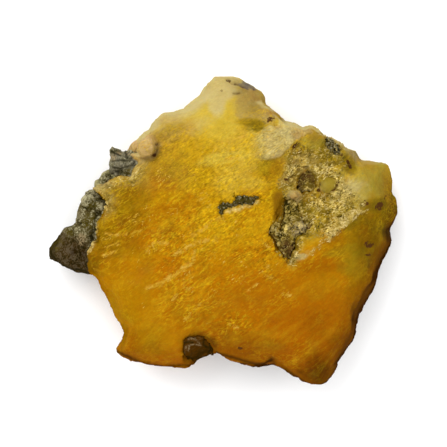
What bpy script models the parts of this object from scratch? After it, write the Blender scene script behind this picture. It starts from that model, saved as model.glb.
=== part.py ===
"""Raw brucite: a thick plate of waxy yellow brucite that holds lumps of dark serpentine rock.

The stone lies on its back. +Z goes up through its thickness, +Y points to the peak of its outline, and the
origin is under the middle of its box, on the surface that it rests on. Lengths in this file are in
millimetres, and MM turns them into Blender's metres.
"""

import bmesh
import bpy
import numpy as np
from mathutils import Vector, noise

MM = 0.001

# --- driving sizes of the brucite -----------------------------------------------------------------------
CROWN = 20.5  # height of the face over the middle of the stone
CROWN_AT = (-2.0, -1.0)
CROWN_FALL = (3.2, 3.6)  # how far the face has dropped at CROWN_REACH from the crown, along X and Y
CROWN_REACH = (36.0, 32.0)
PEAK_SLOPE = 4.2  # how far the face leans back at the peak, from PEAK_FROM to the outline
PEAK_FROM, PEAK_TO = 20.0, 35.0
RIGHT_SLOPE = 2.6  # how far it leans down at the right end
RIGHT_FROM, RIGHT_TO = 24.0, 38.0

SOFT_SHOULDER = (5.2, 6.4)  # width and drop of the rounded upper rim
CRISP_SHOULDER = (1.3, 1.6)  # the same where the rim is a fresh break
CRISP_PLACES = ((-28.0, 3.0, 15.0), (24.0, 20.0, 7.0), (13.0, 25.5, 6.0))  # x, y and reach of each break
BELLY = (8.0, 6.8)  # width and rise of the rounded lower rim
BELLY_VARIES = 0.55  # share by which the lower rim swells and shrinks along the outline
BACK_LIFT = 3.0  # extra rise of the underside towards the left end, where the rock is
BACK_HOLLOWS = 1.1  # depth of the hollows of the back; what would stand below the floor is worn flat

BROKEN_DEPTH = 1.5  # the broken field lies this much under the face
BROKEN_ROUGHNESS = 0.75
HOLLOW_DEPTH = 4.4
POCKET = (18.2, 10.8, 2.9, 2.3)  # x, y, radius and depth
PALE_STEP = 0.9  # the pale patch ends in a step of this height
BOSSES = ((-17.4, 18.4, 2.7, 0.9), (22.9, 9.9, 1.9, 0.9), (15.6, 8.2, 1.5, 0.7))  # x, y, radius, height
CREST = ((16.2, -5.6), (22.5, -1.2), (26.5, 1.8), (31.4, 5.0))  # a raised, splintery edge
CREST_HEIGHT, CREST_WIDTH = 1.1, 1.5
SKIN_WAVES = ((6.0, 0.45), (2.2, 0.2))  # size and height of the waves all over the brucite
LEDGE_PITCH, LEDGE_DEPTH = 2.6, 1.5  # cleavage ledges round the broken sides
LEDGE_WANDER, LEDGE_RUN = 9.0, 7.0  # how far along a side a ledge changes its level, and its depth
SIDE_ALLOWANCE = 0.9  # stone left on the sides for the breaks to take off
SIDE_CHIPS, SIDE_HARDNESS = 150, 0.62  # flat breaks over the stone, and how flat they come out
FRESH_HARDNESS = 0.25  # how much flatter they are where the rim is a fresh break
FIELD_CHIPS, FIELD_HARDNESS = 60, 0.65  # small flat breaks in the broken field
ROCK_CHIPS, ROCK_HARDNESS = 26, 0.6  # flat breaks over each piece of rock
CHIP_BY_FACING = 7.0  # how strongly a break keeps to one facing, in millimetres
CUT_HARDNESS = 0.85  # share of the stone outside a fracture face that it takes off
CUTS = (  # fracture faces: a point on each, and the way it faces
    ((33.6, -9.0, 14.0), (0.78, -0.36, 0.52)),
    ((27.5, -26.0, 13.0), (0.74, -0.42, 0.52)),
    ((27.5, 19.0, 15.5), (0.50, 0.72, 0.48)),
    ((13.0, 26.5, 15.0), (0.42, 0.74, 0.52)),
    ((-15.0, 26.0, 14.5), (-0.50, 0.62, 0.60)),
    ((30.0, -18.0, 6.0), (0.70, -0.44, -0.56)),
    ((0.0, -29.0, 6.5), (0.05, -0.80, -0.60)),
    ((6.0, 31.0, 8.0), (0.30, 0.78, -0.55)),
    ((-24.0, -18.0, 6.5), (-0.72, -0.35, -0.60)),
)

# --- outlines, seen from above --------------------------------------------------------------------------
BRUCITE = (
    (-1.4, 34.0), (1.6, 34.6), (4.2, 34.4), (6.7, 32.9), (8.8, 30.6), (10.0, 27.2), (11.1, 25.7),
    (15.4, 23.5), (18.2, 22.4), (19.6, 23.0), (21.0, 22.5), (22.6, 21.1), (26.9, 18.3), (28.9, 16.9),
    (29.9, 15.5), (31.6, 14.8), (35.1, 14.6), (36.1, 13.5), (36.2, 11.1), (36.4, 9.3), (37.3, 6.3),
    (37.7, 3.9), (37.2, 2.5), (36.0, 0.9), (36.6, -2.1), (35.7, -4.0), (34.7, -6.3), (33.8, -8.9),
    (33.2, -11.7), (31.4, -14.8), (29.7, -17.5), (28.9, -20.0), (28.8, -22.0), (28.3, -23.9),
    (26.8, -26.1), (25.6, -28.8), (24.4, -31.9), (22.9, -34.5), (21.2, -35.3), (19.2, -34.8),
    (16.0, -32.2), (13.5, -30.2), (11.3, -28.7), (10.1, -29.0), (7.9, -29.0), (5.1, -28.6),
    (1.9, -27.6), (-1.8, -25.9), (-4.9, -27.6), (-7.0, -29.1), (-8.7, -29.5), (-12.1, -29.4),
    (-15.2, -29.1), (-19.0, -28.6), (-21.8, -27.7), (-24.0, -26.6), (-22.4, -24.9), (-21.6, -23.2),
    (-21.6, -21.2), (-22.5, -19.8), (-23.7, -18.5), (-25.0, -15.0), (-26.2, -12.9), (-26.9, -11.0),
    (-29.5, -9.2), (-30.1, -7.0), (-30.4, -4.9), (-28.5, -3.8), (-28.1, -1.9), (-27.4, 0.5),
    (-27.0, 2.7), (-25.5, 4.6), (-25.2, 6.4), (-27.4, 7.8), (-27.9, 9.6), (-25.8, 10.5), (-23.4, 11.2),
    (-20.6, 11.2), (-19.2, 12.2), (-18.6, 14.6), (-19.8, 16.3), (-20.9, 17.6), (-20.2, 19.0),
    (-18.5, 20.8), (-16.8, 21.9), (-15.6, 23.6), (-13.2, 25.4), (-9.9, 26.1), (-7.2, 27.6),
    (-6.8, 28.6), (-5.4, 29.1), (-3.9, 31.0), (-2.8, 32.7),
)
BROKEN_FIELD = (
    (13.0, 14.5), (19.0, 20.5), (27.5, 16.5), (31.0, 10.0), (30.5, 5.0), (26.0, 0.6), (19.0, -2.4),
    (15.6, -5.8), (11.0, -1.0), (10.0, 3.0), (11.0, 8.5),
)
HOLLOW = (
    (12.7, 8.0), (16.3, 6.2), (17.4, 3.4), (19.2, 1.4), (17.0, -2.0), (15.9, -5.2), (14.3, -7.4),
    (12.8, -5.8), (11.2, -3.0), (9.8, 0.0), (10.2, 2.8), (11.4, 5.8),
)
PALE_PATCH = (
    (6.6, 14.9), (10.5, 15.2), (14.3, 17.3), (17.6, 19.6), (15.0, 22.6), (9.0, 21.4), (6.0, 18.5),
)

# --- the rock: each lump's name, outline, height of its foot and head, and the slopes of its head -------
LUMPS = (
    ("serpentine_lump_left", (
        (-26.1, 7.4), (-28.6, 8.5), (-30.4, 7.9), (-31.5, 6.0), (-32.7, 3.6), (-33.7, 1.5),
        (-35.3, 0.4), (-36.9, -1.1), (-38.2, -3.0), (-38.6, -5.1), (-37.4, -7.0), (-35.1, -8.4),
        (-32.2, -9.5), (-29.4, -9.8), (-25.0, -7.6), (-22.4, -2.5), (-22.0, 3.0), (-23.5, 6.6),
    ), (1.6, 13.0), (0.26, 0.12)),
    ("serpentine_nub_left", (
        (-25.6, 13.6), (-26.9, 13.3), (-28.2, 11.9), (-28.9, 10.3), (-27.2, 9.5), (-23.8, 8.9),
        (-22.4, 9.6), (-24.2, 11.6),
    ), (4.6, 14.2), (0.10, -0.10)),
    ("serpentine_shard_upper_left", (
        (-25.1, 19.1), (-23.6, 18.9), (-22.4, 18.0), (-20.9, 17.3), (-18.6, 16.8), (-16.2, 15.6),
        (-15.6, 12.6), (-18.4, 10.6), (-21.0, 11.2), (-22.8, 12.2), (-24.8, 12.8), (-25.5, 15.4),
    ), (6.8, 14.8), (0.10, -0.16)),
)
INSETS = (  # rock that shows in the face: foot below the face, head against it, and rounding of the foot
    ("serpentine_lump_bottom", (
        (-8.2, -26.6), (-8.4, -24.2), (-7.1, -23.3), (-5.2, -23.1), (-3.7, -23.9), (-2.4, -25.4),
        (-2.4, -27.2), (-3.6, -28.4), (-5.4, -29.0), (-7.2, -28.6),
    ), 9.0, 1.0, 2.4),
    ("serpentine_wedge_centre", (
        (-0.9, 3.5), (-1.1, 6.0), (1.0, 6.4), (2.4, 6.9), (3.2, 7.8), (5.4, 7.8), (8.0, 7.5),
        (6.9, 6.1), (4.8, 5.3), (2.3, 4.8), (0.4, 3.8),
    ), 4.5, 0.1, 0.7),
    ("serpentine_crust_in_hollow", (
        (13.4, 7.2), (15.0, 7.0), (16.4, 5.6), (16.9, 3.6), (16.6, 1.6), (18.3, 0.9), (17.5, -1.0),
        (16.3, -2.8), (15.3, -5.2), (14.2, -6.6), (12.8, -5.2), (11.5, -2.8), (10.6, -0.6), (11.4, 1.4),
        (12.6, 3.6), (12.6, 5.6),
    ), 3.6, 0.6, 0.7),
    ("serpentine_patch_in_pocket", (
        (16.4, 11.4), (17.0, 12.7), (18.6, 13.1), (20.0, 11.9), (20.2, 10.0), (19.0, 8.9), (17.4, 9.0),
        (16.4, 10.0),
    ), 3.2, 0.4, 0.7),
    ("serpentine_grain_upper_right", (
        (22.4, 20.3), (23.8, 19.6), (25.2, 18.0), (25.6, 16.6), (24.4, 16.2), (23.0, 17.4),
        (22.2, 18.9),
    ), 4.0, 0.1, 0.7),
)
ROCK_CELL, ROCK_WAVE = 3.2, 4.0  # size of the rock's knobs and of its waves
LUMP_RIM, LUMP_LUMPINESS = 3.0, 0.68  # rounding of a lump's rims, and how lumpy it is
LUMP_UNDERCUT = 0.35  # slope by which a lump's underside rises towards its outer end
INSET_RIM, INSET_LUMPINESS = 0.7, 0.26
CUT_GAP = 0.36  # clearance between the rock and its seat
MOUTH_HEIGHT = 15.0  # how far the mouth of an inset's seat is cleared, over the face
RIM_MOUTHS = {"serpentine_lump_bottom": (0.0, -5.0)}  # a mouth that also runs out through the rim, this far

# --- fineness of the solids -----------------------------------------------------------------------------
BRUCITE_GRID, LUMP_GRID, INSET_GRID = 0.8, 0.55, 0.42
HEALED_GRID = 0.6
FLOOR_SNAP = 0.12  # what comes this near the floor lies on it
BRUCITE_TRIANGLES = 5200
TRIANGLES_PER_MM = 34.0  # triangles of a piece of rock for each millimetre of its outline's size
BLOCK_HEIGHT = 10.0  # height of a piece of rock before it is bent to its place
SEEDS = {"relief": 11.0, "skin": 37.0, "ledges": 53.0, "back": 71.0, "rock": 97.0}


# --- small helpers --------------------------------------------------------------------------------------
def smoothstep(low, high, value):
    """0 below low, 1 above high, and an S curve between."""
    share = np.clip((value - low) / (high - low), 0.0, 1.0)
    return share * share * (3.0 - 2.0 * share)


def noise_at(points, size, seed, octaves=2):
    """Smooth noise from about -1 to 1 whose features are about size millimetres across."""
    places = np.column_stack([points, np.zeros((len(points), 3 - points.shape[1]))]) / size + seed
    return np.array([noise.fractal(Vector(place), 1.0, 2.0, octaves) for place in places])


def smooth_loop(points, per_span=4):
    """A closed Catmull-Rom curve through the points."""
    here = np.array(points, float)
    before, after, beyond = np.roll(here, 1, 0), np.roll(here, -1, 0), np.roll(here, -2, 0)
    steps = [
        here
        + 0.5 * (after - before) * t
        + (before - 2.5 * here + 2.0 * after - 0.5 * beyond) * t**2
        + 0.5 * (3.0 * (here - after) + beyond - before) * t**3
        for t in np.arange(per_span) / per_span
    ]
    return np.stack(steps, axis=1).reshape(-1, 2)


def depth_inside(xy, outline):
    """How far each point lies inside a closed outline; negative outside it."""
    x, y = xy[:, 0], xy[:, 1]
    nearest = np.full(len(xy), np.inf)
    inside = np.zeros(len(xy), bool)
    for (ax, ay), (bx, by) in zip(outline, np.roll(outline, -1, axis=0)):
        dx, dy = bx - ax, by - ay
        share = np.clip(((x - ax) * dx + (y - ay) * dy) / (dx * dx + dy * dy), 0.0, 1.0)
        nearest = np.minimum(nearest, np.hypot(x - ax - share * dx, y - ay - share * dy))
        if ay != by:
            inside ^= ((ay > y) != (by > y)) & (x < ax + (y - ay) * dx / dy)
    return np.where(inside, nearest, -nearest)


def distance_from_line(xy, line):
    """Distance of each point from an open line of straight stretches."""
    nearest = np.full(len(xy), np.inf)
    for (ax, ay), (bx, by) in zip(line[:-1], line[1:]):
        dx, dy = bx - ax, by - ay
        share = ((xy[:, 0] - ax) * dx + (xy[:, 1] - ay) * dy) / (dx * dx + dy * dy)
        share = np.clip(share, 0.0, 1.0)
        nearest = np.minimum(nearest, np.hypot(xy[:, 0] - ax - share * dx, xy[:, 1] - ay - share * dy))
    return nearest


def rounding(depth, width, drop):
    """Drop of a rim rounded as a quarter ellipse, at this depth inside the outline."""
    return drop * (1.0 - np.sqrt(1.0 - (1.0 - np.clip(depth / width, 0.0, 1.0)) ** 2))


# --- the brucite's face and back ------------------------------------------------------------------------
def broken_rim(xy):
    """1 where the rim is a fresh, crisp break, and 0 where it is worn round."""
    share = np.zeros(len(xy))
    for x, y, reach in CRISP_PLACES:
        share = np.maximum(share, 1.0 - smoothstep(0.6 * reach, reach, np.hypot(xy[:, 0] - x, xy[:, 1] - y)))
    return share


def face_height(xy):
    """Height of the brucite's upper face, before its rim is rounded."""
    x, y = xy[:, 0], xy[:, 1]
    height = CROWN - CROWN_FALL[0] * ((x - CROWN_AT[0]) / CROWN_REACH[0]) ** 2
    height -= CROWN_FALL[1] * ((y - CROWN_AT[1]) / CROWN_REACH[1]) ** 2
    height -= PEAK_SLOPE * smoothstep(PEAK_FROM, PEAK_TO, y)
    height -= RIGHT_SLOPE * smoothstep(RIGHT_FROM, RIGHT_TO, x)
    height += 0.9 * noise_at(xy, 15.0, SEEDS["relief"]) + 0.3 * noise_at(xy, 5.0, SEEDS["relief"])
    height += PALE_STEP * smoothstep(-0.5, 1.6, depth_inside(xy, smooth_loop(PALE_PATCH)))
    broken = smoothstep(0.0, 2.0, depth_inside(xy, smooth_loop(BROKEN_FIELD)))
    height -= broken * (BROKEN_DEPTH + BROKEN_ROUGHNESS * noise_at(xy, 2.6, SEEDS["skin"]))
    height -= HOLLOW_DEPTH * smoothstep(0.0, 2.6, depth_inside(xy, smooth_loop(HOLLOW)))
    px, py, radius, depth = POCKET
    height -= depth * (1.0 - smoothstep(0.45 * radius, radius, np.hypot(x - px, y - py)))
    for bx, by, radius, rise in BOSSES:
        height += rise * (1.0 - smoothstep(0.5 * radius, radius, np.hypot(x - bx, y - by)))
    crest = 1.0 - smoothstep(0.0, CREST_WIDTH, distance_from_line(xy, CREST))
    return height + CREST_HEIGHT * crest


def back_height(xy):
    """Height of the underside before its rim is rounded: flats on the floor with hollows between."""
    hollows = BACK_HOLLOWS * (noise_at(xy, 11.0, SEEDS["back"], 3) - 0.05)
    lift = BACK_LIFT * smoothstep(-12.0, -30.0, xy[:, 0])
    return np.maximum(hollows, 0.0) + lift


def belly_rounding(xy):
    """Width and rise of the lower rim, which swells and shrinks along the outline."""
    swell = 1.0 + BELLY_VARIES * noise_at(xy, 16.0, SEEDS["back"] + 5.0)
    return BELLY[0] * swell, BELLY[1] * swell


def chip(points, normals, where, count, strength, seed):
    """Flattens patches of the chosen points towards planes of their own, as a break does."""
    chosen = np.flatnonzero(where)
    features = np.hstack([points[chosen], CHIP_BY_FACING * normals[chosen]])
    centres = features[np.random.default_rng(int(seed)).choice(len(chosen), count, replace=False)]
    nearest, best = np.zeros(len(chosen), int), np.full(len(chosen), np.inf)
    for index, centre in enumerate(centres):
        far = ((features - centre) ** 2).sum(axis=1)
        nearest[far < best] = index
        best = np.minimum(best, far)
    for index in range(count):
        patch = chosen[nearest == index]
        facing = normals[patch].mean(axis=0)
        facing /= np.linalg.norm(facing)
        off_plane = (points[patch].mean(axis=0) - points[patch]) @ facing
        points[patch] += np.outer(strength[patch] * off_plane, facing)


# --- making the solids ----------------------------------------------------------------------------------
def new_object(name, mesh, collection):
    made = bpy.data.objects.new(name, mesh)
    collection.objects.link(made)
    return made


def evaluated_mesh(obj):
    """A copy of the object's mesh with its modifiers applied."""
    bpy.context.view_layer.update()
    graph = bpy.context.evaluated_depsgraph_get()
    return bpy.data.meshes.new_from_object(obj.evaluated_get(graph))


def set_mesh(obj, mesh):
    """Gives the object this mesh in place of its own mesh and modifiers."""
    old = obj.data
    obj.modifiers.clear()
    obj.data = mesh
    bpy.data.meshes.remove(old)


def points_of(mesh):
    """The mesh's vertices in millimetres."""
    flat = np.empty(len(mesh.vertices) * 3)
    mesh.vertices.foreach_get("co", flat)
    return flat.reshape(-1, 3) / MM


def put_points(mesh, points):
    mesh.vertices.foreach_set("co", (points * MM).ravel())
    mesh.update()


def normals_of(mesh):
    flat = np.empty(len(mesh.vertices) * 3)
    mesh.vertex_normals.foreach_get("vector", flat)
    return flat.reshape(-1, 3)


def keep_largest_shell(mesh):
    """Drops every loose crumb or closed bubble but the largest shell of the mesh."""
    shape = bmesh.new()
    shape.from_mesh(mesh)
    unseen, largest = set(shape.verts), set()
    while unseen:
        shell, edge_of_shell = set(), [unseen.pop()]
        while edge_of_shell:
            vert = edge_of_shell.pop()
            shell.add(vert)
            fresh = {edge.other_vert(vert) for edge in vert.link_edges} & unseen
            unseen -= fresh
            edge_of_shell.extend(fresh)
        largest = max(largest, shell, key=len)
    crumbs = [vert for vert in shape.verts if vert not in largest]
    bmesh.ops.delete(shape, geom=crumbs, context="VERTS")
    shape.to_mesh(mesh)
    shape.free()


def even_out(obj, grid):
    """Rebuilds the object's surface in even quads, which also heals any fold in it."""
    remesh = obj.modifiers.new("even quads", "REMESH")
    remesh.mode = "VOXEL"
    remesh.voxel_size = grid * MM
    set_mesh(obj, evaluated_mesh(obj))
    keep_largest_shell(obj.data)


def block(name, outline, foot, head, collection):
    """A straight-sided block of the outline, from foot to head."""
    shape = bmesh.new()
    lower = shape.faces.new([shape.verts.new((x * MM, y * MM, foot * MM)) for x, y in outline])
    raised = bmesh.ops.extrude_face_region(shape, geom=[lower])["geom"]
    upper = [part for part in raised if isinstance(part, bmesh.types.BMVert)]
    bmesh.ops.translate(shape, verts=upper, vec=(0.0, 0.0, (head - foot) * MM))
    bmesh.ops.recalc_face_normals(shape, faces=shape.faces)
    mesh = bpy.data.meshes.new(name)
    shape.to_mesh(mesh)
    shape.free()
    return new_object(name, mesh, collection)


def fit_between(obj, outline, height, face, back, shoulder, belly):
    """Bends a slab so that its top follows face and its bottom follows back, with rounded rims."""
    points = points_of(obj.data)
    xy = points[:, :2]
    share = np.clip(points[:, 2] / height, 0.0, 1.0)
    depth = np.maximum(depth_inside(xy, outline), 0.0)
    top = face(xy) - rounding(depth, *shoulder(xy))
    bottom = back(xy) + rounding(depth, *belly(xy))
    points[:, 2] = bottom + share * (top - bottom)
    put_points(obj.data, points)


def thin_out(obj, triangles):
    """Fewer triangles, kept where the surface bends most."""
    obj.data.calc_loop_triangles()
    thinner = obj.modifiers.new("fewer faces", "DECIMATE")
    thinner.ratio = min(1.0, triangles / len(obj.data.loop_triangles))
    thinner.use_collapse_triangulate = True
    set_mesh(obj, evaluated_mesh(obj))


def lay_on_floor(obj):
    """Brings what is close to the floor, or under it, onto the floor."""
    points = points_of(obj.data)
    points[:, 2] = np.where(points[:, 2] < FLOOR_SNAP, 0.0, points[:, 2])
    put_points(obj.data, points)


def weather_brucite(obj):
    """Waves, cleavage ledges and fracture faces on the brucite."""
    points, normals = points_of(obj.data), normals_of(obj.data)
    steep = (1.0 - np.abs(normals[:, 2])) ** 2
    push = sum(height * noise_at(points, size, SEEDS["skin"]) for size, height in SKIN_WAVES)
    wander = noise_at(points[:, :2], LEDGE_WANDER, SEEDS["ledges"])
    layer = np.floor(points[:, 2] / LEDGE_PITCH + 0.6 * wander)
    along = np.column_stack([points[:, :2] / LEDGE_RUN, 4.7 * layer])
    ledges = 0.5 + 0.5 * noise_at(along, 1.0, SEEDS["ledges"])
    fresh = 0.35 + 0.65 * broken_rim(points[:, :2])
    push += steep * (SIDE_ALLOWANCE - LEDGE_DEPTH * fresh * ledges)
    above_floor = smoothstep(0.0, 1.0, points[:, 2])
    points += normals * (push * above_floor)[:, None]
    put_points(obj.data, points)
    normals = normals_of(obj.data)
    in_field = depth_inside(points[:, :2], smooth_loop(BROKEN_FIELD)) > 0.3
    facing_up = smoothstep(0.45, 0.75, normals[:, 2])
    hardness = SIDE_HARDNESS * (1.0 - facing_up) + FRESH_HARDNESS * fresh
    chip(points, normals, above_floor > 0.1, SIDE_CHIPS, hardness * above_floor, SEEDS["ledges"])
    chip(points, normals, in_field & (facing_up > 0.5), FIELD_CHIPS, FIELD_HARDNESS * facing_up,
         SEEDS["skin"])
    for place, facing in CUTS:
        facing = np.array(facing) / np.linalg.norm(facing)
        proud = np.maximum((points - np.array(place)) @ facing, 0.0)
        points -= np.outer(CUT_HARDNESS * proud, facing)
    put_points(obj.data, points)
    even_out(obj, HEALED_GRID)


def weather_rock(obj, size):
    """Knobs and flat breaks on a piece of rock; size is the height of the knobs."""
    points, normals = points_of(obj.data), normals_of(obj.data)
    places = points / ROCK_CELL + SEEDS["rock"]
    cells = np.array([noise.voronoi(Vector(place))[0][0] for place in places])
    push = size * (noise_at(points, ROCK_WAVE, SEEDS["rock"]) + 0.45 - cells)
    points += normals * push[:, None]
    put_points(obj.data, points)
    normals = normals_of(obj.data)
    everywhere = np.ones(len(points), bool)
    chip(points, normals, everywhere, ROCK_CHIPS, ROCK_HARDNESS * everywhere, SEEDS["rock"])
    put_points(obj.data, points)
    even_out(obj, INSET_GRID)


def make_brucite(collection):
    outline = smooth_loop(BRUCITE)
    stone = block("brucite_mass", outline, 0.0, CROWN, collection)
    even_out(stone, BRUCITE_GRID)

    def shoulder(xy):
        crisp = broken_rim(xy)
        return [soft + (hard - soft) * crisp for soft, hard in zip(SOFT_SHOULDER, CRISP_SHOULDER)]

    fit_between(stone, outline, CROWN, face_height, back_height, shoulder, belly_rounding)
    weather_brucite(stone)
    lay_on_floor(stone)
    thin_out(stone, BRUCITE_TRIANGLES)
    lay_on_floor(stone)
    return stone


def signed_area(outline):
    """Area of a closed outline: positive if it runs anticlockwise."""
    x, y = outline[:, 0], outline[:, 1]
    return 0.5 * (np.dot(x, np.roll(y, -1)) - np.dot(y, np.roll(x, -1)))


def grown(outline, by):
    """The closed outline moved outwards by this much."""
    along = np.roll(outline, -1, axis=0) - np.roll(outline, 1, axis=0)
    outward = np.column_stack([along[:, 1], -along[:, 0]]) / np.linalg.norm(along, axis=1)[:, None]
    return outline + by * np.sign(signed_area(outline)) * outward


def make_rock(name, outline, face, back, rims, grid, lumpiness, collection):
    """A piece of rock of this outline between two height fields, with its head and foot rims rounded."""
    outline = smooth_loop(outline)
    head_rim, foot_rim = rims
    rock = block(name, outline, 0.0, BLOCK_HEIGHT, collection)
    even_out(rock, grid)
    round_head, round_foot = (head_rim, head_rim), (foot_rim, foot_rim)
    fit_between(rock, outline, BLOCK_HEIGHT, face, back, lambda xy: round_head, lambda xy: round_foot)
    weather_rock(rock, lumpiness)
    thin_out(rock, TRIANGLES_PER_MM * np.sqrt(abs(signed_area(outline))))
    return rock


def make_lump(name, outline, levels, slopes, collection):
    """A lump that stands out of the brucite's edge."""
    low, high = levels
    middle = np.mean(outline, axis=0)

    def face(xy):
        return high + (xy - middle) @ np.array(slopes)

    def back(xy):
        return low + LUMP_UNDERCUT * np.maximum(middle[0] - xy[:, 0], 0.0)

    rims = (LUMP_RIM, LUMP_RIM)
    return make_rock(name, outline, face, back, rims, LUMP_GRID, LUMP_LUMPINESS, collection)


def make_inset(name, outline, foot, head, foot_rim, collection):
    """A piece of rock let into the brucite's face, whose head follows the face."""
    level = face_level(outline)

    def face(xy):
        depth = np.maximum(depth_inside(xy, smooth_loop(BRUCITE)), 0.0)
        return face_height(xy) - rounding(depth, *SOFT_SHOULDER) * (1.0 - broken_rim(xy)) + head

    def back(xy):
        return np.full(len(xy), level - foot)

    rims = (INSET_RIM, foot_rim)
    return make_rock(name, outline, face, back, rims, INSET_GRID, INSET_LUMPINESS, collection)


def face_level(outline):
    """Height of the brucite's face at the middle of an outline."""
    return float(face_height(np.mean(outline, axis=0)[None, :])[0])


def guide(obj):
    """Shows a cutter as a wire guide that isn't part of the stone."""
    obj.hide_render = True
    obj.display_type = "WIRE"


def seat_cutter(rock, collection):
    """The rock grown by the gap, which cuts its seat."""
    cutter = new_object("seat_of_" + rock.name, rock.data.copy(), collection)
    put_points(cutter.data, points_of(cutter.data) + CUT_GAP * normals_of(cutter.data))
    guide(cutter)


def mouth_cutter(name, outline, foot, run_out, collection):
    """A block over the upper half of an inset, which clears the brucite from above it."""
    edge = grown(smooth_loop(outline), CUT_GAP)
    outer = (edge - edge.mean(axis=0)) @ np.array(run_out) > 0.0
    edge[outer] += run_out
    level = face_level(outline)
    guide(block("mouth_over_" + name, edge, level - 0.5 * foot, level + MOUTH_HEIGHT, collection))


def cut_seats(stone, cutters):
    """Cuts every seat out of the brucite and drops the crumbs that come loose between them."""
    for cutter in cutters:
        cut = stone.modifiers.new(cutter.name, "BOOLEAN")
        cut.operation = "DIFFERENCE"
        cut.object = cutter
    set_mesh(stone, evaluated_mesh(stone))
    keep_largest_shell(stone.data)


def finish(obj, material):
    obj.data.materials.clear()
    obj.data.materials.append(material)


def mineral(name, colour, roughness):
    made = bpy.data.materials.new(name)
    made.use_nodes = True
    shader = made.node_tree.nodes["Principled BSDF"]
    shader.inputs["Base Color"].default_value = (*colour, 1.0)
    shader.inputs["Roughness"].default_value = roughness
    shader.inputs["Metallic"].default_value = 0.0
    return made


def move_to_origin(objects):
    """The move that brings the middle of the pieces' box over the origin, and its foot to the floor."""
    corners = np.vstack([points_of(evaluated_mesh(obj)) for obj in objects])
    low, high = corners.min(axis=0), corners.max(axis=0)
    return Vector((-(low[0] + high[0]) / 2, -(low[1] + high[1]) / 2, -low[2])) * MM


def main():
    for old in list(bpy.data.objects):
        bpy.data.objects.remove(old)
    scene = bpy.context.scene
    parts = bpy.data.collections.new("raw_brucite")
    cutters = bpy.data.collections.new("cutters")
    scene.collection.children.link(parts)
    scene.collection.children.link(cutters)

    stone = make_brucite(parts)
    finish(stone, mineral("yellow brucite", (0.56, 0.30, 0.012), 0.42))
    rocks = []
    for name, outline, levels, slopes in LUMPS:
        rock = make_lump(name, outline, levels, slopes, parts)
        seat_cutter(rock, cutters)
        rocks.append(rock)
    for name, outline, foot, head, foot_rim in INSETS:
        rock = make_inset(name, outline, foot, head, foot_rim, parts)
        seat_cutter(rock, cutters)
        mouth_cutter(name, outline, foot, RIM_MOUTHS.get(name, (0.0, 0.0)), cutters)
        rocks.append(rock)
    cut_seats(stone, cutters.objects)
    for rock in rocks:
        finish(rock, mineral(rock.name + " rock", (0.075, 0.078, 0.055), 0.85))

    move = move_to_origin([stone, *rocks])
    for made in [*parts.objects, *cutters.objects]:
        made.location = move


main()
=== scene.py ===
# %% [markdown]
# # A raw piece of yellow brucite
#
# Brucite is a soft, waxy magnesium mineral. This piece broke out of a vein in dark serpentine rock, and
# some of that rock is still grown into its edge and its face. The packed model gives its true shape in
# some nine thousand flat triangles. This lesson lays a fine, natural surface over that shape, one step
# at a time.

import math

import bmesh
import bpy
import numpy as np
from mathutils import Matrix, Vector, noise
from mathutils.bvhtree import BVHTree


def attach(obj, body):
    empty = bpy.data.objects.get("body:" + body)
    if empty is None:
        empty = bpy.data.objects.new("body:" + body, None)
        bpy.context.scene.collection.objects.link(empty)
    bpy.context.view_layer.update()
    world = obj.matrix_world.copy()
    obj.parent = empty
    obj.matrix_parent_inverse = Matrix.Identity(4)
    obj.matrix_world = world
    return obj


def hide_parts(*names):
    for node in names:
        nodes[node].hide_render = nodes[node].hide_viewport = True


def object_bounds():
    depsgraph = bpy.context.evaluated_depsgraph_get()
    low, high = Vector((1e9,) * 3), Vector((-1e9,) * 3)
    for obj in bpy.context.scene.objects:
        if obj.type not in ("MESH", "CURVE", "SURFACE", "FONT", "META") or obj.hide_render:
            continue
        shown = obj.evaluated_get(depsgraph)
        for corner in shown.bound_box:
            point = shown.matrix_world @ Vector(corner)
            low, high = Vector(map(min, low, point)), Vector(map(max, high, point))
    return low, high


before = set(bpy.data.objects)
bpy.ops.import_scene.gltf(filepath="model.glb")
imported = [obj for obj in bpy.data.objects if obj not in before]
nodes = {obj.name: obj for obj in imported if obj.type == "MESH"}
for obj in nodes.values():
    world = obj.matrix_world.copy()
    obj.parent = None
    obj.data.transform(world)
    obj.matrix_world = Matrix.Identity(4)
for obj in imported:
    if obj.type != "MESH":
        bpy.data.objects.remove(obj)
cad_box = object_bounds()

MM = 0.001
box_low, box_high = (np.array(corner) / MM for corner in cad_box)
print("nodes:", ", ".join(sorted(nodes)))
print("box in millimetres:", (box_high - box_low).round(1))

# %% [markdown]
# ## Numbers with a texture
#
# Every bump and every patch of colour on a stone is made by chance at several sizes at once. Fractal
# noise does the same: a large soft wave, with smaller and smaller ones on it. The helpers here read such
# noise at many points together. Points are in millimetres, and so are all the sizes in this lesson.


# %% Helpers for soft edges and noise
def smoothstep(low, high, value):
    """0 below low, 1 above high, and an S curve between."""
    share = np.clip((value - low) / (high - low), 0.0, 1.0)
    return share * share * (3.0 - 2.0 * share)


def noise_at(points, size, seed, octaves=3):
    """Noise from about -1 to 1, with features about size millimetres across."""
    places = (points / size + seed).tolist()
    return np.array([noise.fractal(place, 0.9, 2.1, octaves) for place in places])


def chips_at(points, size, seed):
    """Flat, tilted cells about size millimetres across, like the facets of a fresh break."""
    found = []
    for place in (points / size + seed).tolist():
        centre = noise.voronoi(place)[1][0]
        tilt = noise.cell_vector(centre * 7.3)
        found.append((Vector(place) - centre).dot(tilt - Vector((0.5, 0.5, 0.5))))
    return np.array(found)


def along_grain(points, turn, long, wide):
    """The points turned and squeezed, so that noise read there is drawn out along one direction."""
    angle = math.radians(turn)
    ahead = points[:, 0] * math.cos(angle) + points[:, 1] * math.sin(angle)
    aside = points[:, 1] * math.cos(angle) - points[:, 0] * math.sin(angle)
    return np.column_stack([ahead / long, aside / wide, points[:, 2] / wide])


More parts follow.
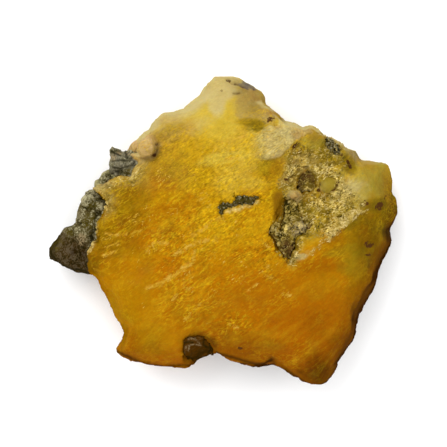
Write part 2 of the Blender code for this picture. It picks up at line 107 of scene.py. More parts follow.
sample = noise_at(np.array([[1.0, 2.0, 3.0], [4.0, 5.0, 6.0]]), 2.0, 0.5)
print("noise at two points:", sample.round(2))

# %% [markdown]
# ## Points as numbers
#
# A surface is carried by its points. Read out as one table they can all be moved in one step, and that
# is how relief is added here, much as a sculptor pushes clay. Points that would leave the packed model's
# box are put back on its border, so the stone keeps its size. A number can also be stored on each point
# for a material to read, which is how a rough spot becomes a pale spot too.


# %% Helpers for points
def points_of(piece):
    """The piece's points in millimetres, and its unit normals."""
    count = len(piece.data.vertices)
    points, normals = np.empty(count * 3), np.empty(count * 3)
    piece.data.vertices.foreach_get("co", points)
    piece.data.vertex_normals.foreach_get("vector", normals)
    return points.reshape(-1, 3) / MM, normals.reshape(-1, 3)


def smoothed(piece, rounds):
    """The piece's points after some rounds of moving each to the middle of its neighbours."""
    smooth = points_of(piece)[0]
    ends = np.empty(len(piece.data.edges) * 2, int)
    piece.data.edges.foreach_get("vertices", ends)
    first, second = ends.reshape(-1, 2).T
    count = np.bincount(ends, minlength=len(smooth))
    for _ in range(rounds):
        for axis in range(3):
            value = smooth[:, axis]
            total = np.bincount(first, value[second], len(value))
            total += np.bincount(second, value[first], len(value))
            smooth[:, axis] = total / count
    return smooth


def height_over_surroundings(piece, rounds):
    """How far each point stands out from a smoothed copy of the surface, in millimetres."""
    here, facing = points_of(piece)
    return ((here - smoothed(piece, rounds)) * facing).sum(axis=1)


def put_points(piece, points):
    """Puts the points back, inside the packed model's box."""
    inside = np.clip(points, box_low, box_high)
    piece.data.vertices.foreach_set("co", (inside * MM).ravel())
    piece.data.update()


def keep(piece, name, values):
    """Stores one number per point on the mesh, for the material to read."""
    stored = piece.data.attributes.new(name, "FLOAT", "POINT")
    stored.data.foreach_set("value", np.clip(values, 0.0, 1.0).astype(np.float32))


def describe(piece):
    """Prints how fine the piece is."""
    triangles = sum(len(face.vertices) - 2 for face in piece.data.polygons)
    print(f"{piece.name}: {triangles} triangles")


print("points stay between", box_low.round(1), "and", box_high.round(1), "millimetres")

# %% [markdown]
# ## A fine copy of each stone
#
# The packed triangles are too large to carry fine relief, and where three of them meet they show a
# corner. A voxel remesh rebuilds the surface as small even quads, and a few rounds of smoothing melt the
# corners away. The copy is merged first, because the packed triangles are loose. The back of the big
# stone is rarely seen, so its points are thinned out, which leaves more for the face.


# %% Helpers for fine copies
def baked(piece, name):
    """Replaces the piece's mesh by what its modifiers make of it."""
    bpy.context.view_layer.update()
    graph = bpy.context.evaluated_depsgraph_get()
    before, finished = piece.data, bpy.data.meshes.new_from_object(piece.evaluated_get(graph))
    piece.modifiers.clear()
    piece.data = finished
    bpy.data.meshes.remove(before)
    finished.name = name
    finished.shade_smooth()


def fine_copy(node, name, voxel, rounds):
    """A new object with the node's shape in even quads of this size, smoothed."""
    shape = bmesh.new()
    shape.from_mesh(nodes[node].data)
    bmesh.ops.remove_doubles(shape, verts=shape.verts, dist=1e-6)
    mesh = bpy.data.meshes.new(name)
    shape.to_mesh(mesh)
    shape.free()
    piece = bpy.data.objects.new(name, mesh)
    bpy.context.scene.collection.objects.link(piece)
    remesh = piece.modifiers.new("even quads", "REMESH")
    remesh.mode = "VOXEL"
    remesh.voxel_size = voxel * MM
    melt = piece.modifiers.new("melted corners", "SMOOTH")
    melt.factor = 0.5
    melt.iterations = rounds
    baked(piece, name)
    return piece


def thin_back(piece, keep_above, share):
    """Fewer, larger faces where the surface is low or faces down."""
    points, normals = points_of(piece)
    back = np.flatnonzero((points[:, 2] < keep_above) | (normals[:, 2] < 0.1))
    group = piece.vertex_groups.new(name="back")
    group.add(back.tolist(), 1.0, "REPLACE")
    thinner = piece.modifiers.new("thin back", "DECIMATE")
    thinner.ratio = share
    thinner.vertex_group = group.name
    baked(piece, piece.data.name)
    piece.vertex_groups.clear()


print("helpers ready:", baked.__name__, fine_copy.__name__, thin_back.__name__)

# %% Copy the brucite
FACE_VOXEL, FACE_ROUNDS = 0.28, 12
FACE_ABOVE, BACK_SHARE = 9.0, 0.57
brucite = fine_copy("brucite_mass", "brucite_stone", FACE_VOXEL, FACE_ROUNDS)
describe(brucite)
thin_back(brucite, FACE_ABOVE, BACK_SHARE)
describe(brucite)

# %% [markdown]
# ## True up the shape
#
# The packed outline is cut from straight lines, and the rock set in the face has smooth round borders.
# The real outline bulges a little here and draws in there, and the real borders are torn. One shift of
# the plane corrects both. Broad shifts come first, then pinches that draw a border in toward a line,
# then small nudges, and last some noise where the borders are torn. The shift is applied to the brucite
# and to the rock alike, so the two still fit together.

# %% Where the plane shifts
# Shifts and nudges are x, y, how far to the right, how far up, and their reach.
SHIFTS = (
    (-19.3, 20.5, 0.8, -0.8, 2.2), (-10.5, 26.6, 0.1, -0.7, 2.2), (-5.5, 29.6, 0.3, -0.4, 2.0),
    (3.2, 33.8, 0.4, 0.4, 1.3), (9.8, 27.8, -0.7, -0.3, 2.2), (14.5, 24.2, -0.3, -0.6, 2.0),
    (17.6, 23.0, -0.1, -0.6, 1.2), (23.0, 21.2, -0.4, -0.5, 1.6), (30.4, 16.0, -0.5, -1.1, 1.7),
    (33.0, 15.2, 0.0, -0.4, 1.2), (36.0, 14.1, 0.4, 0.4, 0.9), (37.8, 7.5, -0.4, 0.0, 1.2),
    (38.1, 3.3, 0.4, 0.0, 1.4), (34.3, -9.0, -0.4, 0.1, 3.0), (30.6, -17.8, -0.4, 0.1, 2.5),
    (25.5, -28.5, -0.5, 0.2, 3.5), (20.2, -33.7, 0.0, -0.4, 1.8), (2.0, -28.5, -0.1, -0.4, 2.0),
    (-5.5, -28.9, 0.3, 0.9, 2.2), (-17.5, -29.5, 0.0, 0.5, 3.5), (-23.0, -26.5, 0.4, 0.3, 1.2),
    (-22.4, -22.5, 0.5, 0.0, 2.2), (-25.3, -16.0, 0.6, 0.1, 2.5), (-28.0, -10.8, 0.5, 0.5, 2.0),
    (-32.0, -9.6, 0.1, 0.5, 2.0), (-38.1, -5.2, -0.4, -0.2, 1.3), (-37.0, -1.6, 0.5, -0.4, 1.6),
    (-33.2, 2.4, 0.7, -0.4, 2.2), (-27.9, 11.5, 0.7, -0.4, 2.0), (-25.3, 16.5, 0.5, 0.0, 1.5),
    (7.8, 6.0, -0.5, 0.7, 1.3), (8.6, 7.6, -0.5, 0.0, 0.9), (0.0, 3.8, -0.1, -0.6, 1.0),
)
NUDGES = (
    (-0.7, 5.8, -0.35, 0.3, 0.7), (0.8, 6.6, 0.0, -0.5, 0.9), (2.7, 7.6, -0.9, 0.2, 0.7),
    (1.5, 5.4, 0.0, -0.2, 0.6), (6.0, 8.2, 0.0, -0.7, 0.9), (7.4, 8.2, 0.2, -0.75, 0.8),
    (0.5, 4.3, -0.5, 0.3, 0.6), (-0.5, 3.6, 0.1, -0.8, 0.6), (7.1, 6.4, 0.3, -0.3, 0.6),
    (1.9, 5.7, 0.0, -0.6, 0.7), (3.2, 5.5, 0.0, -0.2, 0.6), (2.9, 7.3, -0.6, 0.0, 0.6),
    (5.6, 5.9, 0.0, -0.5, 0.9), (-0.65, 4.9, -0.35, 0.0, 0.5), (3.5, 8.0, 0.0, -0.3, 0.7),
    (6.7, 5.7, -0.3, 0.0, 0.5), (11.4, -0.8, -1.1, 0.0, 1.5), (12.4, -3.6, -1.0, 0.0, 1.3),
    (13.6, -5.6, -0.7, -0.6, 1.2), (16.4, -3.0, -0.7, 0.0, 1.3), (-25.3, 16.3, 0.7, 0.0, 1.8),
    (-24.6, 18.8, 0.2, -0.45, 0.9), (-22.2, 18.1, 0.0, -0.8, 1.6), (-19.8, 13.0, 0.2, -0.6, 1.3),
    (-19.4, 14.6, 0.9, -0.2, 1.1), (-18.8, 12.6, -0.6, 0.2, 0.9), (-25.6, 13.8, 0.7, 0.0, 1.1),
    (-20.4, 11.9, 0.0, -0.45, 0.7), (-22.6, 12.1, 0.0, 0.25, 0.8), (-23.3, 18.3, -0.5, -0.5, 0.8),
    (-26.2, 5.8, 1.0, 0.0, 0.9), (-29.8, -3.9, 0.9, 0.1, 0.9), (0.8, 4.7, 0.0, 0.35, 0.5),
    (-26.3, 10.8, 0.0, -1.2, 1.2), (-26.5, 5.7, 1.2, 0.1, 1.1), (-28.5, -1.8, 1.2, 0.0, 1.7),
    (-29.3, -3.6, 0.5, 0.3, 0.8), (-30.4, -7.6, 0.8, 0.0, 1.8), (-16.5, 23.0, 0.5, -0.45, 2.2),
    (-3.6, -28.2, 0.0, 0.55, 1.6),
)
# A pinch is a line, its share and its reach. A torn place is x, y, half its width and half its height.
PINCHES = (
    ([(-0.4, 4.7), (0.3, 5.2), (2.2, 6.1), (4.6, 6.9), (7.4, 7.2)], 0.78, 2.2),
    ([(21.9, 20.4), (25.0, 17.3)], 0.6, 1.8),
    ([(13.4, 6.0), (13.2, 2.0), (13.4, -1.0), (14.2, -5.0)], 0.25, 5.0),
)
TORN = (
    (-26.5, 3.0, 4.0, 9.0), (3.2, 6.2, 6.5, 3.4), (14.0, 1.0, 6.0, 10.0), (18.3, 10.3, 4.2, 4.2),
    (23.4, 18.8, 4.0, 4.0),
)
RAGGED_LARGE, RAGGED_SMALL = (0.65, 2.4), (0.25, 0.9)
print("shifts:", len(SHIFTS), "nudges:", len(NUDGES), "pinches:", len(PINCHES), "torn places:", len(TORN))


# %% The shift
def nearest_on(line, x, y):
    """The nearest place on an open line, for many points."""
    best, near_x, near_y = np.full(len(x), np.inf), x.copy(), y.copy()
    for (ax, ay), (bx, by) in zip(line[:-1], line[1:]):
        dx, dy = bx - ax, by - ay
        share = np.clip(((x - ax) * dx + (y - ay) * dy) / (dx * dx + dy * dy), 0.0, 1.0)
        away = np.hypot(x - ax - share * dx, y - ay - share * dy)
        closer = away < best
        best[closer] = away[closer]
        near_x[closer], near_y[closer] = (ax + share * dx)[closer], (ay + share * dy)[closer]
    return near_x, near_y


def pushed(moved, seen, pushes):
    """Moves the points in the plane by soft pushes, each felt by what is seen near its place."""
    for x, y, right, up, reach in pushes:
        near = np.exp(-((seen[:, 0] - x) ** 2 + (seen[:, 1] - y) ** 2) / reach**2)
        moved[:, 0] += right * near
        moved[:, 1] += up * near


def trued(points):
    """The points shifted across the face; the shift depends only on where a point lies in the plane."""
    moved = points.copy()
    pushed(moved, points, SHIFTS)
    for line, share, reach in PINCHES:
        near_x, near_y = nearest_on(line, moved[:, 0], moved[:, 1])
        away_x, away_y = moved[:, 0] - near_x, moved[:, 1] - near_y
        near = share * np.exp(-(away_x**2 + away_y**2) / reach**2)
        moved[:, 0] -= near * away_x
        moved[:, 1] -= near * away_y
    pushed(moved, moved, NUDGES)
    torn = np.zeros(len(points))
    for x, y, wide, high in TORN:
        away = np.hypot((points[:, 0] - x) / wide, (points[:, 1] - y) / high)
        torn = np.maximum(torn, smoothstep(1.2, 0.8, away))
    there = torn > 0.0
    flat = points[there] * np.array([1.0, 1.0, 0.0])
    for axis, seed in ((0, 51.0), (1, 52.0)):
        ragged = np.zeros(len(points))
        for far, (share, size) in enumerate((RAGGED_LARGE, RAGGED_SMALL)):
            ragged[there] += share * noise_at(flat, size, seed + 5.0 * far)
        moved[:, axis] += torn * ragged
    return moved


try_out = trued(np.array([[0.0, 3.8, 0.0]]))
print("a point at (0, 3.8) moves to", try_out[0, :2].round(2))

# %% [markdown]
# ## A chart of the face
#
# Seen from above, the face has regions that formed in different ways: a smooth waxy skin, a field where
# a flake broke off and left a granular scar, a hollow, a splintery crest below it, worn knobs, and thin
# creases where the layers of the mineral end. A chart turns outlines, lines and spots into soft masks
# over the points. The same masks place the relief and the colours, so a rough spot is also a pale one,
# as on the real stone.


# %% The chart
class Chart:
    """Soft masks over points seen from above, from 0 to 1, all with ragged edges."""

    def __init__(self, points):
        self.x, self.y = points[:, 0], points[:, 1]
        self.ragged = noise_at(points, 3.0, 4.0)
        self.fine_ragged = noise_at(points, 1.1, 14.0)

    def distance(self, line):
        """Distance to an open line."""
        near_x, near_y = nearest_on(line, self.x, self.y)
        return np.hypot(self.x - near_x, self.y - near_y)

    def line(self, *lines, width):
        """1 on the lines, and fading over this width to each side."""
        nearest = np.min([self.distance(line) for line in lines], axis=0)
        return np.exp(-((nearest / (width * (1.0 + 0.35 * self.fine_ragged))) ** 2))

    def area(self, outline, soft):
        """1 inside a closed outline, with an edge this soft."""
        inside = np.zeros(len(self.x), bool)
        for (ax, ay), (bx, by) in zip(outline, outline[1:] + outline[:1]):
            if ay != by:
                crossing = ax + (self.y - ay) * (bx - ax) / (by - ay)
                inside ^= ((ay > self.y) != (by > self.y)) & (self.x < crossing)
        depth = np.where(inside, 1.0, -1.0) * self.distance(outline + outline[:1])
        return smoothstep(-soft, soft, depth + 0.6 * soft * self.ragged + 0.35 * self.fine_ragged)

    def spots(self, spots, soft=0.35):
        """1 inside the strongest of several ellipses: x, y, half length, half width and turn in degrees."""
        found = np.zeros(len(self.x))
        for x, y, long, wide, turn in spots:
            angle = math.radians(turn)
            dx, dy = self.x - x, self.y - y
            ahead = (dx * math.cos(angle) + dy * math.sin(angle)) / long
            aside = (dy * math.cos(angle) - dx * math.sin(angle)) / wide
            away = np.hypot(ahead, aside) + soft * (0.5 * self.ragged + 0.3 * self.fine_ragged)
            found = np.maximum(found, 1.0 - smoothstep(1.0 - soft, 1.0 + soft, away))
        return found


print("a chart draws", ", ".join(name for name in vars(Chart) if not name.startswith("__")))

# %% [markdown]
# ## Seat the brucite against its rock
#
# The brucite takes the shift here, and its rock takes the same one later. How close each rock is has to
# be measured first, because the seats are rough and stained. The packed stone also has a narrow moat
# between the wall of the hollow and the crust of rock in it, and the real stone slopes straight into the
# crust, so the moat is filled.


# %% Measure the gaps and fill the moat
def tree_of(piece):
    """A search tree of the piece's surface, in metres."""
    shape = bmesh.new()
    shape.from_mesh(piece.data)
    found = BVHTree.FromBMesh(shape)
    shape.free()
    return found


def distance_to(points, tree, limit):
    """Distance from each point to the surface in the tree, in millimetres, up to a limit."""
    found = (tree.find_nearest(Vector(place) * MM, limit * MM)[3] for place in points.tolist())
    return np.array([limit if away is None else away / MM for away in found])


GAP_LIMIT = 3.0
points, normals = points_of(brucite)
rock_trees = {name: tree_of(node) for name, node in nodes.items() if name != "brucite_mass"}
gap_to = {name: distance_to(points, tree, GAP_LIMIT) for name, tree in rock_trees.items()}
put_points(brucite, trued(points))
points, normals = points_of(brucite)
chart = Chart(points)

MOAT = [
    (10.3, 8.6), (12.8, 8.4), (13.8, 6.0), (13.8, 3.0), (13.0, 0.6), (12.8, -1.6), (13.0, -4.6),
    (11.8, -5.0), (10.2, -2.6), (9.2, 0.4), (10.0, 3.0), (10.2, 6.0),
]
# The slope of the fill across the moat: from x to x, and from height to height.
MOAT_TOP = ((10.4, 12.9), (19.4, 17.0))
MOAT_ROUNDS = 8
slope = np.interp(chart.x, *MOAT_TOP)
in_moat = chart.area(MOAT, 0.4) * smoothstep(1.5, 4.0, points[:, 2])
points[:, 2] += in_moat * np.maximum(slope - points[:, 2], 0.0)
put_points(brucite, points)
points += in_moat[:, None] * (smoothed(brucite, MOAT_ROUNDS) - points)
put_points(brucite, points)
points, normals = points_of(brucite)
facing_up = smoothstep(0.25, 0.75, normals[:, 2])
on_side = 1.0 - smoothstep(0.1, 0.55, np.abs(normals[:, 2]))
print("points in the moat:", int((in_moat > 0.5).sum()))

# %% [markdown]
# ## The regions of the face
#
# Outlines go round a region point by point, and lines follow an edge, a crack or a crease. Both were
# read off against a grid of millimetres. The scar is the whole broken field, and the hollow is its
# deepest part.

# %% Outlines and edges on the face
SCAR = [
    (13.4, 12.6), (14.2, 17.2), (18.2, 18.6), (21.8, 17.4), (22.4, 20.2), (25.6, 16.6), (27.6, 14.4),
    (25.0, 12.6), (26.4, 9.4), (29.6, 6.6), (31.0, 5.6), (29.6, 3.8), (26.4, 0.6), (23.6, -1.2),
    (20.0, -0.8), (17.6, -1.6), (16.6, -3.6), (16.0, -6.4), (14.2, -7.6), (11.6, -4.4), (9.8, 0.0),
    (10.6, 2.0), (12.8, 3.0), (13.0, 8.0), (12.0, 9.4),
]
HOLLOW = [
    (12.9, 8.0), (16.3, 6.2), (17.4, 3.4), (19.2, 1.4), (17.0, -2.0), (15.9, -5.2), (14.3, -7.4),
    (12.8, -5.8), (11.2, -3.0), (9.9, 0.0), (10.6, 1.8), (12.8, 3.0),
]
ORANGE_WALL = [
    (10.7, 6.8), (11.0, 8.4), (12.3, 8.7), (13.0, 6.4), (12.7, 3.2), (11.6, 1.6), (10.6, 2.6),
]
PALE_PLATE = [
    (3.0, 15.6), (6.9, 15.2), (9.0, 15.0), (10.6, 15.5), (12.4, 16.0), (13.6, 17.3), (15.2, 18.9),
    (17.0, 20.0), (19.2, 21.3), (19.0, 24.0), (12.6, 24.6), (11.6, 22.6), (8.8, 22.2), (7.6, 20.8),
    (3.0, 20.8),
]
LEFT_TEAR = [
    (-26.2, 3.8), (-25.0, 5.0), (-24.8, 6.8), (-26.4, 8.4), (-24.4, 9.8), (-22.8, 10.9), (-19.6, 10.8),
    (-18.3, 12.0), (-17.6, 14.0),
]
CREST = [(22.8, -1.4), (25.4, 0.6), (27.6, 2.8), (30.4, 4.8)]
LOW_CREST = [(14.8, -7.6), (17.6, -5.4), (19.6, -4.4), (22.8, -1.4)]
CREST_SHADOW = [(24.6, -1.9), (26.8, 0.0), (28.8, 1.8), (31.4, 3.9)]
WEDGE_LIP = [(1.2, 4.3), (2.4, 4.4), (3.4, 4.6), (4.2, 5.0)]
WEDGE_THIN_LIP = [(-0.1, 3.6), (1.0, 4.2), (4.2, 5.0), (5.4, 5.2), (6.4, 5.6), (7.2, 6.1)]
LEFT_RIM = [
    (-30.4, -5.1), (-29.2, -4.6), (-28.5, -3.7), (-28.3, -2.5), (-27.9, -1.5), (-27.7, 0.5),
    (-27.6, 2.6), (-26.6, 4.0), (-25.6, 4.8), (-25.2, 5.8),
]
SHARD_RIM = [(-24.0, 11.4), (-21.4, 11.5), (-19.8, 11.3), (-19.0, 12.4), (-18.4, 14.4)]
print("points round the scar:", len(SCAR), "and round the hollow:", len(HOLLOW))

# %% Cracks, creases and clusters of grains
CRACKS = (
    [(20.9, 8.4), (22.6, 7.9), (24.2, 8.8), (24.8, 10.0)], [(20.9, 10.2), (20.5, 9.0), (20.9, 8.4)],
    [(-14.5, 18.8), (-14.4, 17.6), (-14.7, 16.6), (-15.6, 16.1)],
    [(28.2, 2.4), (29.0, 3.2), (30.2, 3.6)], [(23.4, -1.2), (24.2, -1.8)], [(24.9, -0.4), (26.4, 0.2)],
    [(14.9, 17.7), (15.4, 18.3), (16.2, 18.2), (16.8, 19.2)],
    [(13.6, 11.0), (14.4, 11.4), (15.6, 12.0)], [(16.2, 13.2), (17.4, 13.6), (18.4, 13.6)],
    [(1.0, 33.4), (1.3, 32.5), (2.6, 32.1)], [(2.6, 32.1), (4.0, 31.5), (5.2, 30.9), (6.8, 30.8)],
    [(2.0, 29.8), (3.4, 29.9)],
)
CREASES = (
    [(-0.5, 2.8), (-3.4, 0.9), (-6.6, -1.1)], [(-1.4, -1.9), (-5.1, -2.6), (-7.8, -3.7), (-10.5, -5.2)],
    [(-6.4, -4.8), (-6.7, -6.8), (-8.6, -8.2), (-10.6, -9.6), (-13.3, -11.5), (-16.6, -12.6)],
)
FINE_CREASES = (
    [(-25.4, -0.8), (-22.1, -1.3), (-17.7, 0.1)], [(-16.6, -4.6), (-14.9, -2.9), (-11.9, -2.9)],
    [(-25.4, -3.8), (-22.9, -3.0)], [(-25.9, -5.6), (-23.4, -4.6)],
    [(-5.0, -16.0), (-6.2, -17.2), (-8.2, -19.2)], [(-8.5, -12.4), (-7.5, -12.8)],
    [(-11.0, -15.0), (-10.0, -14.2)], [(0.6, 15.3), (4.2, 15.6)],
    [(-1.0, 19.0), (3.0, 19.8), (8.6, 21.2)], [(9.2, -9.8), (11.4, -10.8)],
    [(5.5, -13.1), (7.4, -11.7)], [(12.8, -13.8), (14.4, -14.2)], [(8.0, -9.0), (9.6, -7.9)],
    [(1.4, -20.4), (3.0, -21.2)], [(8.2, -2.2), (9.9, -3.9)],
)
# A spot is x, y, half its length, half its width, and its turn in degrees.
CLUSTERS = (
    (27.2, 8.0, 2.2, 1.6, 20), (24.6, 5.4, 2.6, 1.6, 25), (24.6, 8.2, 2.0, 1.0, 10),
    (15.9, 0.6, 2.0, 1.5, 20), (22.6, -0.4, 2.2, 0.9, 30), (16.8, -5.6, 1.8, 0.7, 10),
    (14.6, 12.6, 1.8, 1.6, 0), (17.8, 8.6, 1.4, 0.7, 0), (20.2, 5.6, 1.6, 1.2, 20),
    (19.4, -4.6, 2.4, 1.0, 15), (16.4, 0.0, 1.8, 1.4, 20), (22.4, 12.8, 3.0, 1.3, 0),
    (25.4, 11.0, 1.6, 1.4, 0), (24.6, 2.0, 1.8, 1.2, 30),
)
print("cracks:", len(CRACKS), "creases:", len(CREASES) + len(FINE_CREASES), "clusters:", len(CLUSTERS))

# %% The broken places as masks
SEATS = ("patch_in_pocket", "crust_in_hollow", "grain_upper_right", "wedge_centre", "lump_bottom")

at_rock = smoothstep(1.6, 0.5, np.min([gap_to["serpentine_" + name] for name in SEATS], axis=0))
field = chart.area(SCAR, 1.0) * facing_up
hollow = chart.area(HOLLOW, 0.5) * facing_up
tear = chart.line(LEFT_TEAR, width=1.3) * facing_up
ragged_crest = smoothstep(-0.45, 0.25, chart.fine_ragged)
crest = np.maximum(chart.line(CREST, width=0.75), 0.2 * chart.line(LOW_CREST, width=0.5))
crest = crest * ragged_crest * facing_up
crack = chart.line(*CRACKS, width=0.26) * facing_up * smoothstep(-0.5, 0.1, chart.fine_ragged)
crease = np.maximum(chart.line(*CREASES, width=0.36), 0.8 * chart.line(*FINE_CREASES, width=0.26))
crease *= facing_up * smoothstep(-0.5, 0.2, chart.fine_ragged)
print("share of the points in the scar:", round(float((field > 0.5).mean()), 3))

# %% [markdown]
# ## Relief of the brucite
#
# The skin is nearly smooth, with low waves and faint ridges along the fibres. The scar carries chips,
# which are small flat facets at odd tilts, and sharp grains on them. The sides broke along the layers of
# the mineral, so their relief is drawn out level, in low ledges. Knobs and grooves are put where the
# stone has them. Points near the floor stay where they are, because the stone rests on them.

# %% Knobs, pits and grooves
# Knobs and pits are x, y, radius and height. A groove is a line, its width and its depth.
KNOBS = (
    (-28.3, -2.3, 0.6, 0.4), (-30.2, -5.0, 0.6, 0.3), (-17.4, 18.0, 3.3, 1.5), (22.7, 9.7, 1.9, 0.8),
    (15.3, 7.3, 1.6, 0.6), (-13.3, 24.3, 1.6, 0.2),
)
PITS = (
    (18.3, 10.3, 2.5, -0.5), (1.0, 33.0, 0.5, -0.3), (-0.4, 30.5, 0.4, -0.25), (10.4, 24.2, 0.7, -0.25),
    (15.8, 18.3, 0.8, -0.25), (33.9, 5.2, 1.0, -0.3), (31.7, -3.2, 1.0, -0.2),
)
GROOVES = (
    ([(-15.3, 20.2), (-14.5, 18.6), (-14.5, 17.2), (-15.2, 15.8)], 0.45, -0.8),
    ([(-15.1, 15.8), (-17.5, 14.9), (-19.6, 15.9)], 0.6, -0.4),
    ([(1.0, 33.2), (1.3, 32.4), (2.8, 32.0), (4.4, 31.2), (6.6, 30.8)], 0.3, -0.3),
    (CREST_SHADOW, 0.75, -0.55), ([(26.6, 15.8), (27.2, 14.6), (27.6, 13.6)], 0.35, -0.35),
    ([(6.8, 14.8), (10.4, 15.0), (13.2, 16.4)], 0.4, -0.25),
    ([(16.2, -1.2), (17.6, 0.4), (19.2, 2.4)], 0.35, -0.4),
    ([(14.0, 10.6), (15.6, 12.4), (17.4, 13.4), (19.6, 13.2)], 0.35, -0.3),
)
print("knobs:", len(KNOBS), "pits:", len(PITS), "grooves:", len(GROOVES))

# %% Shape the masks of the relief
OLIVE_PEBBLE, CREAM_PEBBLE = (22.7, 9.7, 1.9, 1.7, 0), (15.3, 7.2, 1.7, 1.3, -30)
dome = sum(
    height * np.clip(1.0 - (np.hypot(chart.x - x, chart.y - y) / radius) ** 2, 0.0, 1.0) ** 1.5
    for x, y, radius, height in KNOBS + PITS
)
groove = sum(depth * chart.line(line, width=width) for line, width, depth in GROOVES) - 0.25 * crack
pebble = chart.spots([OLIVE_PEBBLE, CREAM_PEBBLE], 0.2)
rough = np.maximum.reduce([0.85 * field, 0.9 * hollow, crest, 0.7 * tear]) * (1.0 - 0.85 * pebble)
fibres = noise_at(along_grain(points, 40.0, 3.0, 0.55), 1.0, 41.0, 2)
torn_fibres = noise_at(along_grain(points, 20.0, 1.8, 0.45), 1.0, 43.0, 2)
print("share of the points that are rough:", round(float((rough > 0.5).mean()), 3))

# %% Move the brucite's points
waves = 0.13 * noise_at(points, 4.5, 1.0) + 0.08 * noise_at(points, 1.3, 2.0) + 0.075 * fibres
break_up = 0.8 * chips_at(points, 1.8, 3.0) + 0.5 * chips_at(points, 0.8, 5.0) + 0.20 * torn_fibres
level = points * np.array([1.0, 1.0, 2.6])
ledges = 0.42 * noise_at(level, 5.0, 7.0) + 0.4 * chips_at(level, 3.4, 8.0)
ledges += 0.07 * noise_at(points, 0.9, 9.0)
grains = noise_at(points, 0.75, 10.0, 2)

lift = waves + np.maximum(rough, 0.6 * at_rock) * break_up + on_side * (1.0 - at_rock) * ledges
plate = chart.area(PALE_PLATE, 0.3) * smoothstep(5.4, 10.4, chart.x)
lift += facing_up * (dome + groove + 0.35 * plate)
lift += 0.3 * chart.line(LEFT_RIM, width=0.4) + 0.12 * crease + 0.5 * crest * np.abs(grains)
lift += 0.25 * at_rock * field
lift += 0.45 * on_side * smoothstep(1.0, 0.5, np.min(list(gap_to.values()), axis=0))
near_floor = smoothstep(0.0, 1.2, points[:, 2])
points += normals * (lift * near_floor)[:, None]
put_points(brucite, points)
print("largest move in millimetres:", round(float(np.abs(lift).max()), 2))

# %% [markdown]
# ## Where the colours change
#
# The colours of a grown stone change in patches with soft, ragged borders. A patch is given here as a
# few ellipses that overlap, which is quick to adjust and never looks ruled. Each is x, y, half its
# length, half its width, and its turn in degrees. Long borders and rims are outlines and lines instead.

# %% Patches of yellow, cream and tan
LEMON = (
    (-0.8, 26.0, 7.5, 6.5, 60), (-9.0, 25.6, 8.5, 2.2, 28), (0.0, 31.5, 4.6, 3.6, 0),
    (13.4, 23.6, 3.4, 1.6, -30), (0.6, 15.6, 6.0, 1.6, 10),
)
SOFT_LEMON = (
    (4.0, 18.6, 5.5, 3.4, 10), (3.5, 14.4, 5.0, 2.6, 0), (3.0, 10.4, 4.8, 2.6, 0),
    (6.5, 21.0, 4.0, 1.6, 10),
)
LIME = (
    (19.4, 19.2, 3.0, 1.9, -20), (28.6, 10.6, 4.0, 4.8, 0), (33.4, 11.0, 3.4, 4.6, 0),
    (24.4, 13.6, 2.8, 2.0, 0),
)
CREAM = (
    (-0.2, 31.0, 3.4, 3.0, 0), (-13.2, 24.8, 3.8, 1.0, 30), (-8.0, 26.6, 4.0, 1.2, 20),
    (-3.6, 30.0, 3.0, 2.0, 50), (15.3, 7.3, 1.7, 1.4, -30), (16.6, -5.8, 1.5, 0.6, 10),
    (-1.6, 28.2, 2.0, 3.6, 0), (-26.4, 9.4, 2.6, 0.9, 20), (21.6, 9.4, 0.8, 1.2, 0),
    (15.4, 0.8, 1.8, 1.6, 20), (13.0, 20.8, 3.2, 1.5, 20), (11.8, 19.4, 2.6, 1.6, 10),
)
FAINT_CREAM = ((27.0, 8.4, 3.4, 2.6, 30), (-11.6, 20.6, 3.4, 1.6, 25), (-6.5, 22.6, 4.0, 1.8, 25))
TAN = (
    (5.8, 28.2, 3.6, 3.6, 20), (9.0, 25.8, 3.4, 2.4, -40), (5.2, 24.9, 2.4, 1.2, 0),
    (17.6, 14.4, 3.6, 2.2, 10), (13.6, 10.8, 2.0, 1.4, 30),
)
ROSY = ((-13.0, 17.5, 6.0, 6.0, 0), (-11.0, 12.0, 5.0, 3.0, 0), (-17.0, 11.6, 3.4, 3.0, 0))
BOSS = ((-17.6, 18.0, 3.4, 3.0, 10),)
print("pale patches:", sum(map(len, (LEMON, SOFT_LEMON, LIME, CREAM, FAINT_CREAM, TAN, ROSY, BOSS))))

# %% Patches of gold, amber and olive
GOLD = (
    (1.4, 25.2, 1.7, 1.7, 0), (-1.0, 13.5, 17.0, 8.5, -8), (1.0, 1.5, 10.5, 6.5, 20),
    (-8.0, -5.0, 4.0, 2.0, 30), (-4.0, -16.5, 7.0, 2.5, 0), (18.0, -2.6, 3.0, 1.2, 10),
)
AMBER = (
    (12.0, -17.0, 17.0, 8.5, -10), (18.5, -26.0, 9.5, 8.0, 0), (-14.5, -7.5, 5.0, 1.5, 22),
    (6.5, -5.0, 5.0, 2.0, 20), (-27.6, -6.6, 2.2, 2.6, 0), (-14.6, 3.0, 8.0, 2.6, 10),
    (-13.8, 9.6, 4.0, 1.6, 10), (22.5, -30.0, 5.0, 6.0, -50), (-18.5, 8.0, 5.0, 2.4, 10),
    (20.8, -7.4, 5.6, 2.0, 8), (5.5, -25.0, 7.4, 3.0, 0), (-10.6, -13.6, 4.0, 6.0, -30),
    (-8.0, -20.4, 8.0, 2.8, 5), (2.0, -20.4, 5.5, 2.6, 0), (-6.0, -12.4, 5.0, 2.4, 20),
    (-13.0, -1.6, 3.6, 2.6, 10),
)
WARM_CENTRE = (
    (-14.5, -1.5, 4.0, 3.0, 10), (-9.0, -9.0, 6.0, 8.0, -30), (-3.0, -12.0, 6.0, 2.6, 20),
    (-9.0, -20.5, 8.0, 2.4, 5), (3.0, -19.6, 5.0, 2.2, 0),
)
LOW_GOLD = ((-20.4, -17.0, 5.5, 6.0, 0), (-16.0, -22.0, 5.0, 3.6, 0))
